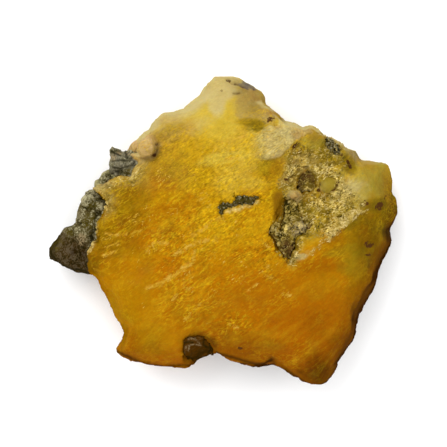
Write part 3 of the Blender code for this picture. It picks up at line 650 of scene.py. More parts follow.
OLIVE = (
    (7.4, 22.6, 1.5, 1.2, 0), (5.2, 23.4, 2.6, 0.9, 0), (10.3, 13.2, 3.2, 2.2, 0),
    (22.7, 9.7, 1.9, 1.7, 0), (17.0, 5.2, 1.6, 2.8, 0), (29.0, -7.0, 4.0, 3.0, 10),
    (22.6, 16.4, 2.6, 2.4, -30), (27.6, 13.8, 1.4, 2.4, 20), (27.6, 1.0, 2.2, 1.0, 35),
    (33.2, 5.4, 3.2, 1.7, 10), (36.8, 2.0, 2.4, 6.0, 0), (18.6, 5.6, 2.2, 1.4, 0),
    (22.0, 3.4, 2.0, 1.0, 30), (25.4, -4.6, 4.0, 1.2, 12),
)
LEFT_BAND = ((-24.6, 3.0, 6.4, 11.0, 0),)
LEFT_LOW = ((-21.0, -14.0, 7.0, 8.0, 0), (-15.0, -23.0, 9.0, 5.0, 0))
print("deep patches:", sum(map(len, (GOLD, AMBER, WARM_CENTRE, LOW_GOLD, OLIVE, LEFT_BAND, LEFT_LOW))))

# %% Patches of shade, of dirt, and of lively or calm pattern
SHADE = (
    (-20.0, 12.0, 1.7, 1.2, 0), (25.4, -27.6, 1.7, 3.8, -20), (29.9, 2.2, 2.2, 1.3, 40),
    (22.6, 17.2, 2.4, 2.2, -40), (22.4, -31.6, 5.4, 4.4, -50), (33.4, 5.4, 2.6, 1.4, 20),
    (-28.6, -7.4, 1.8, 2.6, 0), (36.8, 2.0, 2.0, 5.4, 0), (31.5, -2.0, 3.4, 6.0, 10),
    (21.5, -31.8, 3.4, 2.6, -40), (6.6, 22.4, 2.4, 1.2, 0), (-3.0, -24.6, 2.2, 1.4, 20),
    (-14.2, 17.2, 0.9, 2.2, 0), (27.2, 14.2, 1.4, 2.2, 20), (17.2, 5.0, 1.8, 2.6, 0),
    (-16.0, 15.4, 1.8, 0.7, -10),
)
MID_SHADE = (
    (-19.6, 10.0, 3.2, 3.8, 0), (-20.4, 3.0, 2.6, 4.4, 0), (24.8, -26.0, 2.2, 5.0, -20),
    (-17.8, 6.2, 2.0, 1.8, 0), (21.0, 19.4, 2.4, 1.6, -20), (35.2, 4.4, 3.0, 3.0, 0),
    (-26.5, -3.0, 2.6, 3.4, 0), (3.8, 31.6, 2.4, 2.2, 0), (20.4, 16.4, 2.4, 1.6, 0),
    (27.8, 16.4, 2.2, 1.4, -40),
)
SOFT_SHADE = (
    (33.5, 10.0, 3.4, 4.0, 0), (6.2, 29.0, 2.8, 3.0, 0), (4.0, 31.4, 2.6, 2.4, 0),
    (20.4, -8.6, 4.0, 2.0, 0), (-3.0, -20.6, 9.0, 2.6, 0), (-17.5, -24.0, 4.6, 2.6, 0),
    (20.0, -20.0, 3.0, 2.6, 0), (-22.4, 5.0, 4.0, 5.0, 0), (5.0, -24.6, 7.0, 2.6, 0),
    (-12.0, -1.0, 2.6, 2.0, 0), (-16.0, 12.2, 2.4, 1.4, 0), (-11.0, 12.6, 3.0, 2.4, 0),
    (-11.5, 21.4, 3.4, 1.4, 20), (13.4, 9.6, 1.8, 2.4, 0), (-20.0, 3.0, 4.4, 7.0, 0),
    (10.4, 9.2, 1.6, 2.2, 0), (-24.0, -3.0, 3.0, 3.0, 0),
)
SPOTS = (
    (-16.5, 21.1, 1.3, 0.55, 0), (1.0, 33.0, 0.75, 0.45, -40), (-0.4, 30.5, 0.3, 0.3, 0),
    (10.3, 24.0, 0.9, 0.5, 20), (11.0, 24.6, 0.3, 0.6, -20), (15.7, 18.2, 1.0, 0.5, 40),
    (24.9, 10.3, 0.42, 0.42, 0), (33.9, 5.2, 1.0, 0.7, 50), (31.6, -3.2, 1.15, 0.75, 0),
    (31.5, -5.5, 0.7, 0.3, 0), (3.8, -25.8, 0.7, 0.5, 0), (-25.0, -13.4, 0.25, 0.5, 0),
    (27.3, 14.4, 0.35, 1.4, 30), (29.6, 15.5, 0.5, 0.35, -40), (13.6, 10.9, 0.8, 0.35, 20),
    (30.8, 5.9, 0.8, 0.6, 0), (18.4, 0.5, 1.6, 0.4, 52), (25.6, 16.4, 0.8, 0.4, -50),
    (35.5, 7.3, 0.35, 0.8, -20), (25.3, 17.9, 0.4, 1.2, 50), (20.6, 8.8, 0.5, 0.6, 0),
    (-15.2, 16.2, 0.5, 0.3, 20),
)
DARK = (
    (14.6, 4.8, 2.4, 2.2, -10), (11.8, -0.5, 1.8, 1.8, 0), (14.2, -4.4, 1.5, 2.8, 12),
    (17.4, 0.2, 0.5, 1.6, -40),
)
LIVELY = (
    (-2.0, 1.0, 12.0, 5.0, 28), (-3.0, 11.0, 6.0, 4.0, 0), (9.0, 8.0, 3.0, 5.0, 0),
    (8.0, -4.0, 5.0, 3.0, 0), (-9.0, 19.5, 5.0, 2.5, 20), (-21.0, 11.0, 5.0, 2.5, 10),
    (28.0, 9.0, 3.5, 3.0, 0), (11.5, 18.6, 6.0, 3.5, 20), (0.0, 19.0, 8.0, 3.0, 10),
)
CALM = (
    (6.0, -14.0, 6.0, 4.0, 0), (-21.0, -14.0, 8.0, 10.0, 0), (-14.0, -24.0, 12.0, 6.0, 0),
    (20.0, -18.0, 11.0, 14.0, -20), (31.0, -8.0, 6.0, 9.0, 0), (-1.0, 26.0, 9.0, 8.0, 60),
    (33.0, 10.0, 5.0, 5.5, 0), (7.0, -26.0, 10.0, 4.0, 0),
)
print("rust-coloured spots:", len(SPOTS), "places in shade:", len(SHADE + MID_SHADE + SOFT_SHADE))

# %% Outlines and rims of colour, some rims darkened partly as painted shade
GREY_PATCH = [(3.5, 31.9), (4.3, 32.7), (5.8, 32.2), (7.2, 30.9), (5.6, 30.8), (4.4, 31.2)]
GREEN_SIDE = [
    (4.5, 36.0), (13.0, 32.0), (22.0, 28.0), (40.0, 18.0), (42.0, 6.0), (34.0, 5.0), (30.6, 4.2),
    (26.4, 0.4), (22.8, -1.2), (19.0, -1.4), (16.4, -3.0), (15.0, -8.0), (12.0, -3.0), (12.5, 4.0),
    (13.0, 9.6), (12.0, 13.5), (8.0, 14.0), (6.5, 18.0), (6.0, 24.0), (3.5, 28.0),
]
RIGHT_OLIVE = [
    (22.8, -3.2), (26.4, -0.2), (30.6, 3.6), (40.0, 5.0), (40.0, -22.0), (30.0, -24.0), (27.0, -19.0),
    (26.5, -13.0), (27.5, -8.0), (25.0, -5.0),
]
# The right rim turns dark olive toward the edge, partly as painted shade.
OLIVE_RIM = [(37.6, 8.6), (38.0, 4.0), (37.2, 0.5), (36.6, -2.6), (34.6, -6.4), (33.0, -10.0)]
LOW_RIGHT = [(31.0, -14.5), (28.6, -21.8), (26.4, -26.0), (24.2, -31.4), (22.4, -34.0), (19.0, -34.0)]
FLANK = [(21.2, 22.0), (24.4, 20.0), (27.0, 18.1), (29.4, 15.8)]
PALE_EDGE = [
    (-20.3, 18.0), (-17.2, 22.2), (-12.8, 25.2), (-8.0, 26.8), (-4.5, 29.8), (-1.8, 33.0), (2.5, 33.4),
]
# The rim at the right and lower right is darkened toward the edge, partly as painted shade.
BARE_EDGE = [
    (36.5, -3.1), (34.4, -6.3), (32.8, -11.5), (29.6, -17.3), (28.6, -21.8), (26.4, -26.0),
    (24.2, -31.4), (22.4, -34.0),
]
LOW_EDGE = [(22.4, -34.0), (19.4, -34.2), (13.6, -30.6), (8.0, -29.6), (-1.4, -26.8)]
LOW_LEFT_EDGE = [(-6.6, -28.9), (-7.6, -29.6), (-13.0, -30.0), (-18.0, -29.0), (-23.4, -26.6)]
print("corners round the green side:", len(GREEN_SIDE), "and along the bare edge:", len(BARE_EDGE))

# %% [markdown]
# ## What the material will read
#
# A shader can't see the regions, so they are stored on the mesh, one number per point. The colour is
# made darker where the surface is lower than its surroundings, and paler where it stands out. Both are
# found by smoothing a copy of the points and comparing. Rock stains the brucite round it, and to the
# right of the bottom lump the stain is also a painted shadow. The rims at the right and bottom and the
# sides turned away from the lamp are darkened, partly as painted shade, and the sides at the upper end
# that face the lamp are made cream, partly as a painted highlight. Where the brucite wraps over the
# rock's edge it has a thin bright lip.

# %% Lips, stains and rims, with painted shade and highlight on the sides
STAND_OUT_ROUNDS, ROCK_STAND_OUT_ROUNDS = 10, 6
stand_out = height_over_surroundings(brucite, STAND_OUT_ROUNDS)
lip = np.maximum(chart.line(LEFT_RIM, width=0.32), 0.6 * chart.line(SHARD_RIM, width=0.4))
lip *= 0.95 + 0.4 * chart.fine_ragged
wedge_lip = np.maximum(chart.line(WEDGE_LIP, width=0.42), 0.6 * chart.line(WEDGE_THIN_LIP, width=0.28))
lip = np.maximum(lip, wedge_lip * smoothstep(-0.7, 0.1, chart.fine_ragged))
# Rock stain on the brucite round the rocks. Round the bottom lump it is stronger on the right, where it is
# a painted shadow.
stain = np.maximum.reduce([
    smoothstep(2.2, 0.3, gap_to["serpentine_lump_bottom"]) * (0.3 + 0.5 * smoothstep(-9.0, -5.0, chart.x)),
    0.9 * smoothstep(1.0, 0.2, gap_to["serpentine_patch_in_pocket"]),
    0.5 * smoothstep(0.7, 0.3, gap_to["serpentine_grain_upper_right"]),
])
wall = chart.area(ORANGE_WALL, 0.5)
turned_down = smoothstep(0.70, 0.25, normals[:, 2])
upper_end = smoothstep(12.0, 18.0, chart.y)
# Painted shade, in part: an orange band and a thin dark line along the rims at the right and bottom, darker
# toward the edge.
warm_rim = np.maximum(chart.line(BARE_EDGE, width=2.0), chart.line(LOW_EDGE, width=1.5))
warm_rim = np.maximum(warm_rim, 0.8 * chart.line(LOW_LEFT_EDGE, width=0.9))
low_rim = 0.8 * chart.line(LOW_EDGE, LOW_LEFT_EDGE, width=0.40)
thin_rim = np.maximum(0.7 * chart.line(BARE_EDGE, width=1.1), low_rim)
lower_end = smoothstep(6.0, 1.0, chart.y) * smoothstep(-12.0, 2.0, chart.x)
# Painted shade: on the lower part of the stone, sides turned away from the upper-left lamp and sides turned
# to the front are darkened.
turned_away = turned_down * smoothstep(-0.1, 0.5, normals[:, 0] - 0.5 * normals[:, 1])
turned_low = turned_down * smoothstep(0.0, 0.6, -normals[:, 1])
# The lower right tip is darkened too, partly as painted shade.
tip = 0.55 * chart.spots([(21.8, -32.4, 5.2, 3.2, -40)], 0.6)
print("share of the points that turn down:", round(float((turned_down > 0.5).mean()), 3))

# %% Store the masks of the surface
shades = [chart.spots(SHADE, 0.5), 0.7 * chart.spots(MID_SHADE, 0.6), 0.4 * chart.spots(SOFT_SHADE, 0.6)]
masks = {
    "rough": rough * (1.0 - 0.9 * wall),
    "wall": wall,
    "height": 0.5 + stand_out / 0.8,
    "crushed": 0.9 * crest * (0.6 + 0.5 * grains) + lip,
    "crease": crease * (0.75 + 0.4 * grains),
    "crack": crack,
    "clusters": chart.spots(CLUSTERS, 0.5),
    "calm": chart.spots(CALM, 0.5),
    "lively": chart.spots(LIVELY, 0.6) + 0.6 * chart.line(*CREASES, *FINE_CREASES, width=1.6),
    "pebble": chart.spots([OLIVE_PEBBLE], 0.2) * facing_up,
    "spot": chart.spots(SPOTS, 0.5) * facing_up,
    "dark": chart.spots(DARK, 0.5) * facing_up * (1.0 - wall),
    "stain": stain,
    "shade": np.maximum.reduce(shades),
    "side": on_side,
}
for name, values in masks.items():
    keep(brucite, name, values)
print("stored on the brucite:", ", ".join(masks))

# %% Store the masks of the colours
pale_field = 0.85 * chart.spots(FAINT_CREAM[:1], 0.8)
pale_rim = chart.line(PALE_EDGE, width=2.3)
low_shade = 0.7 * chart.spots([(7.0, -26.4, 6.4, 2.8, -10)], 0.6)
# Darker olive near the right edge, partly as painted shade.
olive_corner = 0.5 * chart.spots([(33.4, 0.6, 2.4, 3.6, 0), (35.6, 4.4, 2.8, 2.4, 0)], 0.6)
left_olive = [0.9 * chart.spots(LEFT_BAND, 0.5), 0.2 * chart.spots(LEFT_LOW, 0.5)]
# Painted highlight, in part: at the upper end, sides that face up and left toward the lamp are made cream,
# partly as the stone's own pale rim.
faces_up_left = smoothstep(0.0, 0.6, normals[:, 1] - 0.8 * normals[:, 0])
masks = {
    "gold": chart.spots(GOLD),
    "amber": chart.spots(AMBER),
    "right_olive": np.maximum.reduce([chart.area(RIGHT_OLIVE, 2.5), *left_olive]),
    "green_side": chart.area(GREEN_SIDE, 1.6),
    "lime": chart.spots(LIME),
    "lemon": np.maximum(chart.spots(LEMON), 0.75 * chart.spots(SOFT_LEMON, 0.7)) * facing_up,
    "tan": chart.spots(TAN),
    "olive": chart.spots(OLIVE),
    "cream": np.maximum.reduce([
        chart.spots(CREAM), 0.9 * plate, pale_field, 0.4 * chart.spots(FAINT_CREAM, 0.8), pale_rim]),
    "rosy": chart.spots(ROSY, 0.7),
    "low_gold": chart.spots(LOW_GOLD, 0.7),
    "warm_centre": chart.spots(WARM_CENTRE, 0.7),
    "boss": chart.spots(BOSS),
    "torn": tear,
    "flank": chart.line(FLANK, width=0.9),
    "low_shade": np.maximum(chart.line(LOW_RIGHT, width=6.0), low_shade),
    "olive_rim": np.maximum(chart.line(OLIVE_RIM, width=3.0), olive_corner),
    "grey_patch": chart.area(GREY_PATCH, 0.35),
    "pale_side": turned_down * faces_up_left * upper_end,
    "warm_rim": np.maximum(warm_rim, turned_low * lower_end),
    "edge": np.maximum.reduce([thin_rim, turned_away * lower_end, tip]),
}
for name, values in masks.items():
    keep(brucite, name, values)
print("colours on the brucite:", ", ".join(masks))
describe(brucite)

# %% [markdown]
# ## The rock grown into the stone
#
# Serpentine rock is granular and dull. Each packed piece of it keeps a thin gap to the brucite, which
# the real one doesn't have: the two grew against each other. So each fine copy swells toward the
# brucite where that is close, until the gap is closed. It also gets nodules, chips, grains and pits.

# %% Knobs and marks on the rock
# A nodule is x, y, its radius and its height.
NODULES = (
    (-29.0, 6.9, 2.4, 1.5), (-26.8, 5.4, 1.3, 0.9), (-31.2, 3.2, 1.8, 0.7), (-31.0, -0.6, 2.0, 0.7),
    (-34.4, -4.6, 3.6, 1.0), (-26.2, 11.4, 1.5, 0.6), (-28.6, 5.2, 1.0, -0.5), (-29.6, 4.2, 1.2, -0.5),
    (-33.2, -0.6, 0.9, -0.4), (12.2, 1.4, 1.8, 1.3), (16.4, 0.4, 1.7, 0.9), (13.0, 4.6, 1.0, 0.5),
    (12.8, 2.4, 1.0, 0.5), (12.4, -2.6, 1.4, 0.7), (-33.6, -3.6, 1.5, 0.4), (-31.8, -6.4, 1.6, 0.5),
    (-34.6, -6.6, 1.3, 0.4), (-32.6, -4.9, 0.9, -0.6),
)
SMOOTH_END = ((-34.0, -5.8, 5.6, 4.6, -25), (-29.8, -7.4, 3.0, 3.2, 0))
SHELL_HEART = ((-25.7, 11.2, 1.7, 1.1, 25),)
RING = ((18.0, 10.4, 2.3, 2.4, 0), (14.2, -4.8, 1.9, 2.8, 12), (10.6, -1.6, 0.7, 2.0, 10))
RING_HEART = ((18.4, 9.8, 1.4, 1.2, 0),)
PALE_LINES = (
    [(-8.3, -26.6), (-8.1, -25.3), (-7.4, -24.9), (-6.4, -24.8), (-5.0, -25.0)],
    [(-7.6, -26.2), (-7.4, -25.2)], [(-7.6, -23.7), (-6.2, -23.5), (-5.5, -24.3), (-4.9, -25.0)],
)
ROCK_CRACKS = (
    [(-24.3, 15.0), (-22.6, 15.2), (-20.4, 15.0)], [(-24.2, 13.7), (-22.4, 13.4), (-20.0, 14.1)],
    [(-21.5, 17.1), (-21.0, 15.6)], [(-23.6, 12.8), (-22.0, 12.5)], [(-24.5, 17.2), (-22.6, 16.2)],
    [(-19.4, 14.9), (-19.1, 13.6), (-19.7, 12.2)],
    [(-30.6, 6.4), (-29.0, 6.1), (-27.2, 6.4), (-26.0, 6.1)],
    [(-28.0, 4.4), (-27.2, 3.2), (-28.2, 2.2), (-28.0, 0.2), (-28.6, -1.8), (-29.2, -3.4)],
    [(-4.2, -23.8), (-4.4, -24.9), (-3.6, -25.6)], [(-3.0, -24.6), (-2.8, -26.0), (-3.4, -27.0)],
    [(-8.4, -24.4), (-7.4, -24.2), (-6.6, -24.4)],
)
ROCK_GREEN = (
    (-20.5, 12.6, 1.0, 1.0, 0), (-29.4, 1.2, 1.4, 2.0, 0), (-36.6, -3.2, 1.6, 1.2, 30),
    (-28.0, 5.6, 2.0, 1.2, 0), (-33.6, -0.6, 1.0, 0.8, 0),
)
ROCK_PALE = (
    (-24.2, 15.8, 0.8, 0.8, 0), (-22.8, 16.7, 0.6, 0.3, -30), (-20.9, 16.6, 0.8, 0.4, -30),
    (-31.0, -2.0, 0.9, 1.2, 0), (16.2, 0.2, 2.0, 1.5, 20), (18.2, 1.8, 1.6, 0.8, 40),
)
print("nodules:", len(NODULES), "lines on the rock:", len(PALE_LINES + ROCK_CRACKS))

# %% Make the rock pieces
# Each rock has its piece's name, the size of its quads, its rounds of smoothing, and how strong its
# forms and its grit are.
ROCKS = {
    "serpentine_lump_left": ("rock_lump_left", 0.25, 8, 0.55, 0.30),
    "serpentine_nub_left": ("rock_nub_left", 0.20, 5, 0.40, 0.25),
    "serpentine_shard_upper_left": ("rock_shard_upper_left", 0.20, 5, 0.85, 0.18),
    "serpentine_lump_bottom": ("rock_lump_bottom", 0.20, 8, 0.25, 0.15),
    "serpentine_wedge_centre": ("rock_wedge_centre", 0.16, 5, 0.25, 0.30),
    "serpentine_crust_in_hollow": ("rock_crust_in_hollow", 0.19, 40, 0.15, 0.50),
    "serpentine_patch_in_pocket": ("rock_patch_in_pocket", 0.16, 5, 0.5, 0.6),
    "serpentine_grain_upper_right": ("rock_grain_upper_right", 0.16, 5, 0.4, 0.45),
}
OVERLAP, SEAT_REACH, CRUST_REACH = 0.20, 1.2, 2.2


def weather_rock(piece, rounding, roughness, stone, reach_limit):
    """Closes the seat's gap, then adds forms, chips and grains."""
    here, facing = points_of(piece)
    found = [stone.find_nearest(Vector(place) * MM) for place in here.tolist()]
    reach = np.array([tuple(spot) for spot, *_ in found]) / MM - here
    away = np.linalg.norm(reach, axis=1)
    ahead = (reach * facing).sum(axis=1) / np.maximum(away, 0.01)
    swell = (away + OVERLAP) * (1.0 - smoothstep(0.3, 1.0, away / reach_limit))
    swell *= smoothstep(0.1, 0.6, ahead)
    inner = smoothstep(0.2, 1.2, away)
    forms = inner * (0.7 * noise_at(here, 4.5, 20.0, 2) + 0.9 * chips_at(here, 3.0, 21.0))
    grit = 0.6 * chips_at(here, 1.1, 22.0) + 0.25 * noise_at(here, 0.7, 23.0, 2)
    pits = -0.35 * smoothstep(0.3, 0.6, noise_at(here, 0.9, 24.0))
    upright = smoothstep(0.0, 0.6, facing[:, 2])
    nodules = sum(
        height * np.clip(1.0 - (np.hypot(here[:, 0] - x, here[:, 1] - y) / radius) ** 2, 0.0, 1.0)
        for x, y, radius, height in NODULES
    )
    here += facing * (swell + upright * nodules + rounding * forms + roughness * (grit + pits))[:, None]
    put_points(piece, here)
    stands = height_over_surroundings(piece, ROCK_STAND_OUT_ROUNDS)
    spread = Chart(here)
    # Painted shade: faces that turn down, on the lower part of the stone, are stored to be blackened.
    turned = smoothstep(0.75, 0.30, points_of(piece)[1][:, 2]) * smoothstep(2.0, -3.0, spread.y)
    pale_lines = 0.7 * spread.line(*PALE_LINES, width=0.16)
    masks = {
        "turned": turned,
        "height": 0.5 + stands / 0.5,
        "dark": spread.spots(DARK, 0.5),
        "smooth_end": spread.spots(SMOOTH_END, 0.3),
        "ring": spread.spots(RING, 0.4) - 0.9 * spread.spots(RING_HEART, 0.6),
        "clusters": spread.spots(CLUSTERS, 0.5),
        "pale_lines": np.maximum(pale_lines, spread.spots(ROCK_PALE, 0.5)),
        "cracks": spread.line(*ROCK_CRACKS, width=0.22),
        "green": spread.spots(ROCK_GREEN, 0.6),
        "shell": 1.0 - spread.spots(SHELL_HEART, 0.4),
    }
    for name, values in masks.items():
        keep(piece, name, values)


stone = tree_of(brucite)
rocks = {}
for node, (name, voxel, rounds, rounding, roughness) in ROCKS.items():
    rock = fine_copy(node, name, voxel, rounds)
    put_points(rock, trued(points_of(rock)[0]))
    weather_rock(rock, rounding, roughness, stone, CRUST_REACH if "crust" in node else SEAT_REACH)
    rocks[node] = rock
    describe(rock)

# %% [markdown]
# ## Splinters and crumbs
#
# Brucite splits into thin flakes and fibres. Where it broke, hundreds of them stand up a little and
# catch the light, and crumbs of mineral sit in the hollow. Each splinter is one small flat needle, made
# from a four-sided cone, and each crumb is a small ball pulled out of shape. They are laid on the
# surface by a fixed draw of chances, and all of one kind are joined in one mesh.


# %% Helpers for splinters and crumbs
def add_splinter(shape, place, facing, along, size, chances):
    """One needle, half sunk in the surface: size is its length and width."""
    side = facing.cross(along).normalized()
    width = size[1] * (0.6 + 0.8 * chances.random())
    cone = bmesh.ops.create_cone(
        shape, cap_ends=True, segments=4, radius1=width, radius2=0.2 * width, depth=size[0])
    for vert in cone["verts"]:
        x, y, z = vert.co
        vert.co = place + side * x + facing * (0.5 * y) + along * z


def add_crumb(shape, place, facing, along, size, chances):
    """One angular crumb, half sunk in the surface: size is its length and width."""
    side = facing.cross(along).normalized()
    chip = bmesh.ops.create_cone(
        shape, cap_ends=True, segments=3, radius1=size[1], radius2=0.5 * size[1], depth=size[0])
    for vert in chip["verts"]:
        x, y, z = vert.co * (0.7 + 0.6 * chances.random())
        vert.co = place + side * x + facing * (0.8 * y) + along * z


GRAIN_BEND = 22.0


def scatter(name, add, beds, grain, spread, lengths, width, lean, seed):
    """One mesh of many small shapes laid along the grain.

    A bed is a piece, the weights of its points, and a count. Toward the right end the grain turns by
    GRAIN_BEND degrees.
    """
    chances = np.random.default_rng(seed)
    shape = bmesh.new()
    for source, weights, count in beds:
        here, facing = points_of(source)
        for index in chances.choice(len(here), count, p=weights / weights.sum()):
            normal = Vector(facing[index])
            bend = GRAIN_BEND * smoothstep(0.0, 30.0, here[index, 0])
            turn = math.radians(grain + chances.normal(0.0, spread) - bend)
            flat = Vector((math.cos(turn), math.sin(turn), 0.0))
            along = (flat - normal * flat.dot(normal)).normalized() + normal * chances.normal(0.0, lean)
            length = lengths[0] + (lengths[1] - lengths[0]) * chances.random() ** 2
            place = Vector(here[index]) + normal * 0.02
            add(shape, place, normal, along.normalized(), (length, width), chances)
    bmesh.ops.scale(shape, verts=shape.verts, vec=(MM, MM, MM))
    bmesh.ops.recalc_face_normals(shape, faces=shape.faces)
    mesh = bpy.data.meshes.new(name)
    shape.to_mesh(mesh)
    shape.free()
    piece = bpy.data.objects.new(name, mesh)
    bpy.context.scene.collection.objects.link(piece)
    put_points(piece, points_of(piece)[0])
    describe(piece)
    return piece


print("a crumb starts as a cone with three sides, a splinter as one with four")

# %% Where they lie
points, normals = points_of(brucite)
upward = smoothstep(0.3, 0.7, normals[:, 2])
not_wall = 1.0 - wall
dense = 0.2 + chart.spots(CLUSTERS, 0.5)
in_scar = (0.6 * dense * rough**2 + 2.0 * crest + 0.4 * hollow + 1.5 * lip) * upward * not_wall
clusters = smoothstep(0.05, 0.5, noise_at(points, 5.0, 31.0))
left_side = smoothstep(14.0, 2.0, chart.x) * smoothstep(-24.0, -16.0, chart.y)
left_side *= 1.0 - chart.spots(CALM, 0.5)
on_skin = (2.0 * crease + 0.25 * clusters * left_side) * (1.0 - rough) * upward
on_skin *= smoothstep(22.0, 6.0, chart.y) * (1.0 - smoothstep(0.2, 0.6, warm_rim))
in_hollow = (0.25 * field + hollow + 0.8 * at_rock * field) * upward * not_wall * (1.0 - pebble)
print("points that may carry crumbs:", int((in_hollow > 0.1).sum()))


# %% Lay them
def rock_bed(node, count):
    """The upper side of a rock piece, for scatter."""
    return rocks[node], smoothstep(0.3, 0.7, points_of(rocks[node])[1][:, 2]), count


splinters = scatter(
    "splinters_in_scar", add_splinter, [(brucite, in_scar, 1500)],
    grain=42.0, spread=34.0, lengths=(0.3, 1.3), width=0.085, lean=0.25, seed=5)
flakes = scatter(
    "flakes_on_skin", add_splinter, [(brucite, on_skin, 1300)],
    grain=42.0, spread=16.0, lengths=(0.25, 0.9), width=0.075, lean=0.06, seed=6)
crumb_beds = [
    (brucite, in_hollow, 1500),
    rock_bed("serpentine_crust_in_hollow", 420),
    rock_bed("serpentine_patch_in_pocket", 60),
    rock_bed("serpentine_grain_upper_right", 20),
]
crumbs = scatter(
    "crumbs_of_mineral", add_crumb, crumb_beds,
    grain=40.0, spread=60.0, lengths=(0.25, 0.75), width=0.13, lean=0.3, seed=7)

# %% [markdown]
# ## A short way to write materials
#
# A material is a net of nodes, which is slow to read when each node and link has a line of its own. One
# small class wraps a socket, so that a formula in Python adds the Math nodes it needs. Any other node
# comes from one method. Its settings are set first, and then its sockets get numbers or other wires.


# %% The wire
class Wire:
    """An output socket of a material. Maths on wires adds Math nodes."""

    def __init__(self, tree, socket=None):
        self.tree, self.socket = tree, socket

    def node(self, kind, settings, sockets, output=0):
        """Adds a node of this kind; settings first, then values or wires for its sockets."""
        made = self.tree.nodes.new("ShaderNode" + kind)
        for name, value in settings.items():
            if name == "stops":
                for _ in value[2:]:
                    made.color_ramp.elements.new(0.5)
                for stop, (place, colour) in zip(made.color_ramp.elements, value):
                    stop.position, stop.color = place, (*colour, 1.0)
            else:
                setattr(made, name, value)
        for key, value in sockets.items():
            if isinstance(value, Wire):
                self.tree.links.new(value.socket, made.inputs[key])
            else:
                made.inputs[key].default_value = value
        return Wire(self.tree, made.outputs[output] if made.outputs else None)

    def maths(self, operation, *values):
        """A Math node on wires and numbers."""
        return self.node("Math", {"operation": operation}, dict(enumerate(values)))

    def __add__(self, other):
        return self.maths("ADD", self, other)

    def __sub__(self, other):
        return self.maths("SUBTRACT", self, other)

    def __rsub__(self, other):
        return self.maths("SUBTRACT", other, self)

    def __mul__(self, other):
        return self.maths("MULTIPLY", self, other)

    __radd__, __rmul__ = __add__, __mul__

    def soft(self, low, high):
        """0 below low, 1 above high, and a soft step between."""
        sockets = {"Value": self, "From Min": low, "From Max": high}
        return self.node("MapRange", {"interpolation_type": "SMOOTHSTEP"}, sockets)

    def ridge(self, width):
        """Thin lines: 1 where the noise crosses 0.5, and 0 a little away from there."""
        return self.maths("ABSOLUTE", self - 0.5).soft(width, 0.0)

    def toward(self, colour, share):
        """This colour mixed with another, given as a wire or as red, green and blue."""
        other = colour if isinstance(colour, Wire) else (*colour, 1.0)
        return self.node("Mix", {"data_type": "RGBA"}, {0: share, 6: self, 7: other}, 2)

    def shaded(self, amount):
        """This colour made lighter or darker by a wire."""
        return self.node("VectorMath", {"operation": "SCALE"}, {0: self, "Scale": amount})


print("a wire knows", ", ".join(n for n in vars(Wire) if not n.startswith("__")))


# %% Places and patterns for materials
def new_material(name):
    """An empty material and a wire of its object coordinates, in metres."""
    material = bpy.data.materials.new(name)
    material.use_nodes = True
    material.node_tree.nodes.clear()
    start = Wire(material.node_tree)
    return material, start.node("TexCoord", {}, {}, 3)


def cloud(place, size, detail=2.0, grain=0.5, seed=0.0):
    """Noise from 0 to 1 with features of this size in millimetres."""
    sockets = {"Vector": place, "W": seed, "Scale": 1.0 / (size * MM), "Detail": detail, "Roughness": grain}
    return place.node("TexNoise", {"noise_dimensions": "4D"}, sockets)


def drawn_out(place, turn, long, wide):
    """Coordinates in which a pattern is long in one direction across the face, and narrow in the other."""
    scale = (long * MM, wide * MM, wide * MM)
    sockets = {"Vector": place, "Rotation": (0.0, 0.0, math.radians(turn)), "Scale": scale}
    return place.node("Mapping", {"vector_type": "TEXTURE"}, sockets)


def streaks(place, turn, long, wide, seed):
    """Noise from 0 to 1 that is drawn out along one direction."""
    sockets = {"Vector": drawn_out(place, turn, long, wide), "W": seed, "Scale": 1.0, "Detail": 2.0}
    return place.node("TexNoise", {"noise_dimensions": "4D"}, sockets)


def stored(start, name):
    """A number kept on the mesh's points."""
    return start.node("Attribute", {"attribute_name": name}, {}, 2)


print("patterns:", cloud.__name__, streaks.__name__, stored.__name__)

# %% [markdown]
# ## The colour of the brucite
#
# Pure brucite is white. Traces of iron and manganese turn this piece yellow, and the colour deepens from
# lemon at its thin upper end, through honey, to amber and brown at the thick lower end. Light sinks in
# and comes back warm, which is why thin edges glow. The base is a ramp along the stone, bent by large
# noise so that no band is straight. The ramp is partly painted light too: lighter toward the upper end
# and darker toward the foot. The stored masks then shift it towards olive, tan, cream or amber where the
# real colour changes, darken rims and sides as painted shade, and pale some sides as a painted
# highlight. Last come the small things: mottling, streaks along the fibres, darker pits and cracks, and
# crushed white edges.

# %% The palette
LEMON_YELLOW, PALE_CREAM, STREAK_GOLD = (0.46, 0.33, 0.036), (0.44, 0.355, 0.140), (0.51, 0.31, 0.006)
GOLDEN, HONEY, ORANGE = (0.38, 0.215, 0.003), (0.39, 0.182, 0.0006), (0.34, 0.116, 0.0004)
DEEP_AMBER, RIM_ORANGE, BROWN = (0.26, 0.072, 0.0003), (0.19, 0.060, 0.0003), (0.018, 0.005, 0.0003)
WARM_GOLD, LOW_LEFT_GOLD, ROSY_GOLD = (0.358, 0.129, 0.0003), (0.320, 0.152, 0.0006), (0.295, 0.165, 0.013)
LIME_YELLOW, OLIVE_TAN, OLIVE_GREEN = (0.32, 0.240, 0.026), (0.27, 0.190, 0.018), (0.230, 0.142, 0.003)
RIGHT_GREEN, RIM_OLIVE, PEBBLE_OLIVE = (0.215, 0.114, 0.0006), (0.095, 0.056, 0.001), (0.245, 0.180, 0.018)
WARM_TAN, PINK_TAN, TORN_TAN = (0.31, 0.212, 0.058), (0.47, 0.32, 0.130), (0.35, 0.245, 0.060)
CREASE_GOLD, CRUSHED_WHITE, WALL_BROWN = (0.55, 0.315, 0.040), (0.66, 0.50, 0.17), (0.175, 0.080, 0.002)
SCAR_TAN, SCAR_CREAM, SCAR_DARK_BROWN = (0.225, 0.150, 0.014), (0.58, 0.44, 0.130), (0.045, 0.026, 0.004)
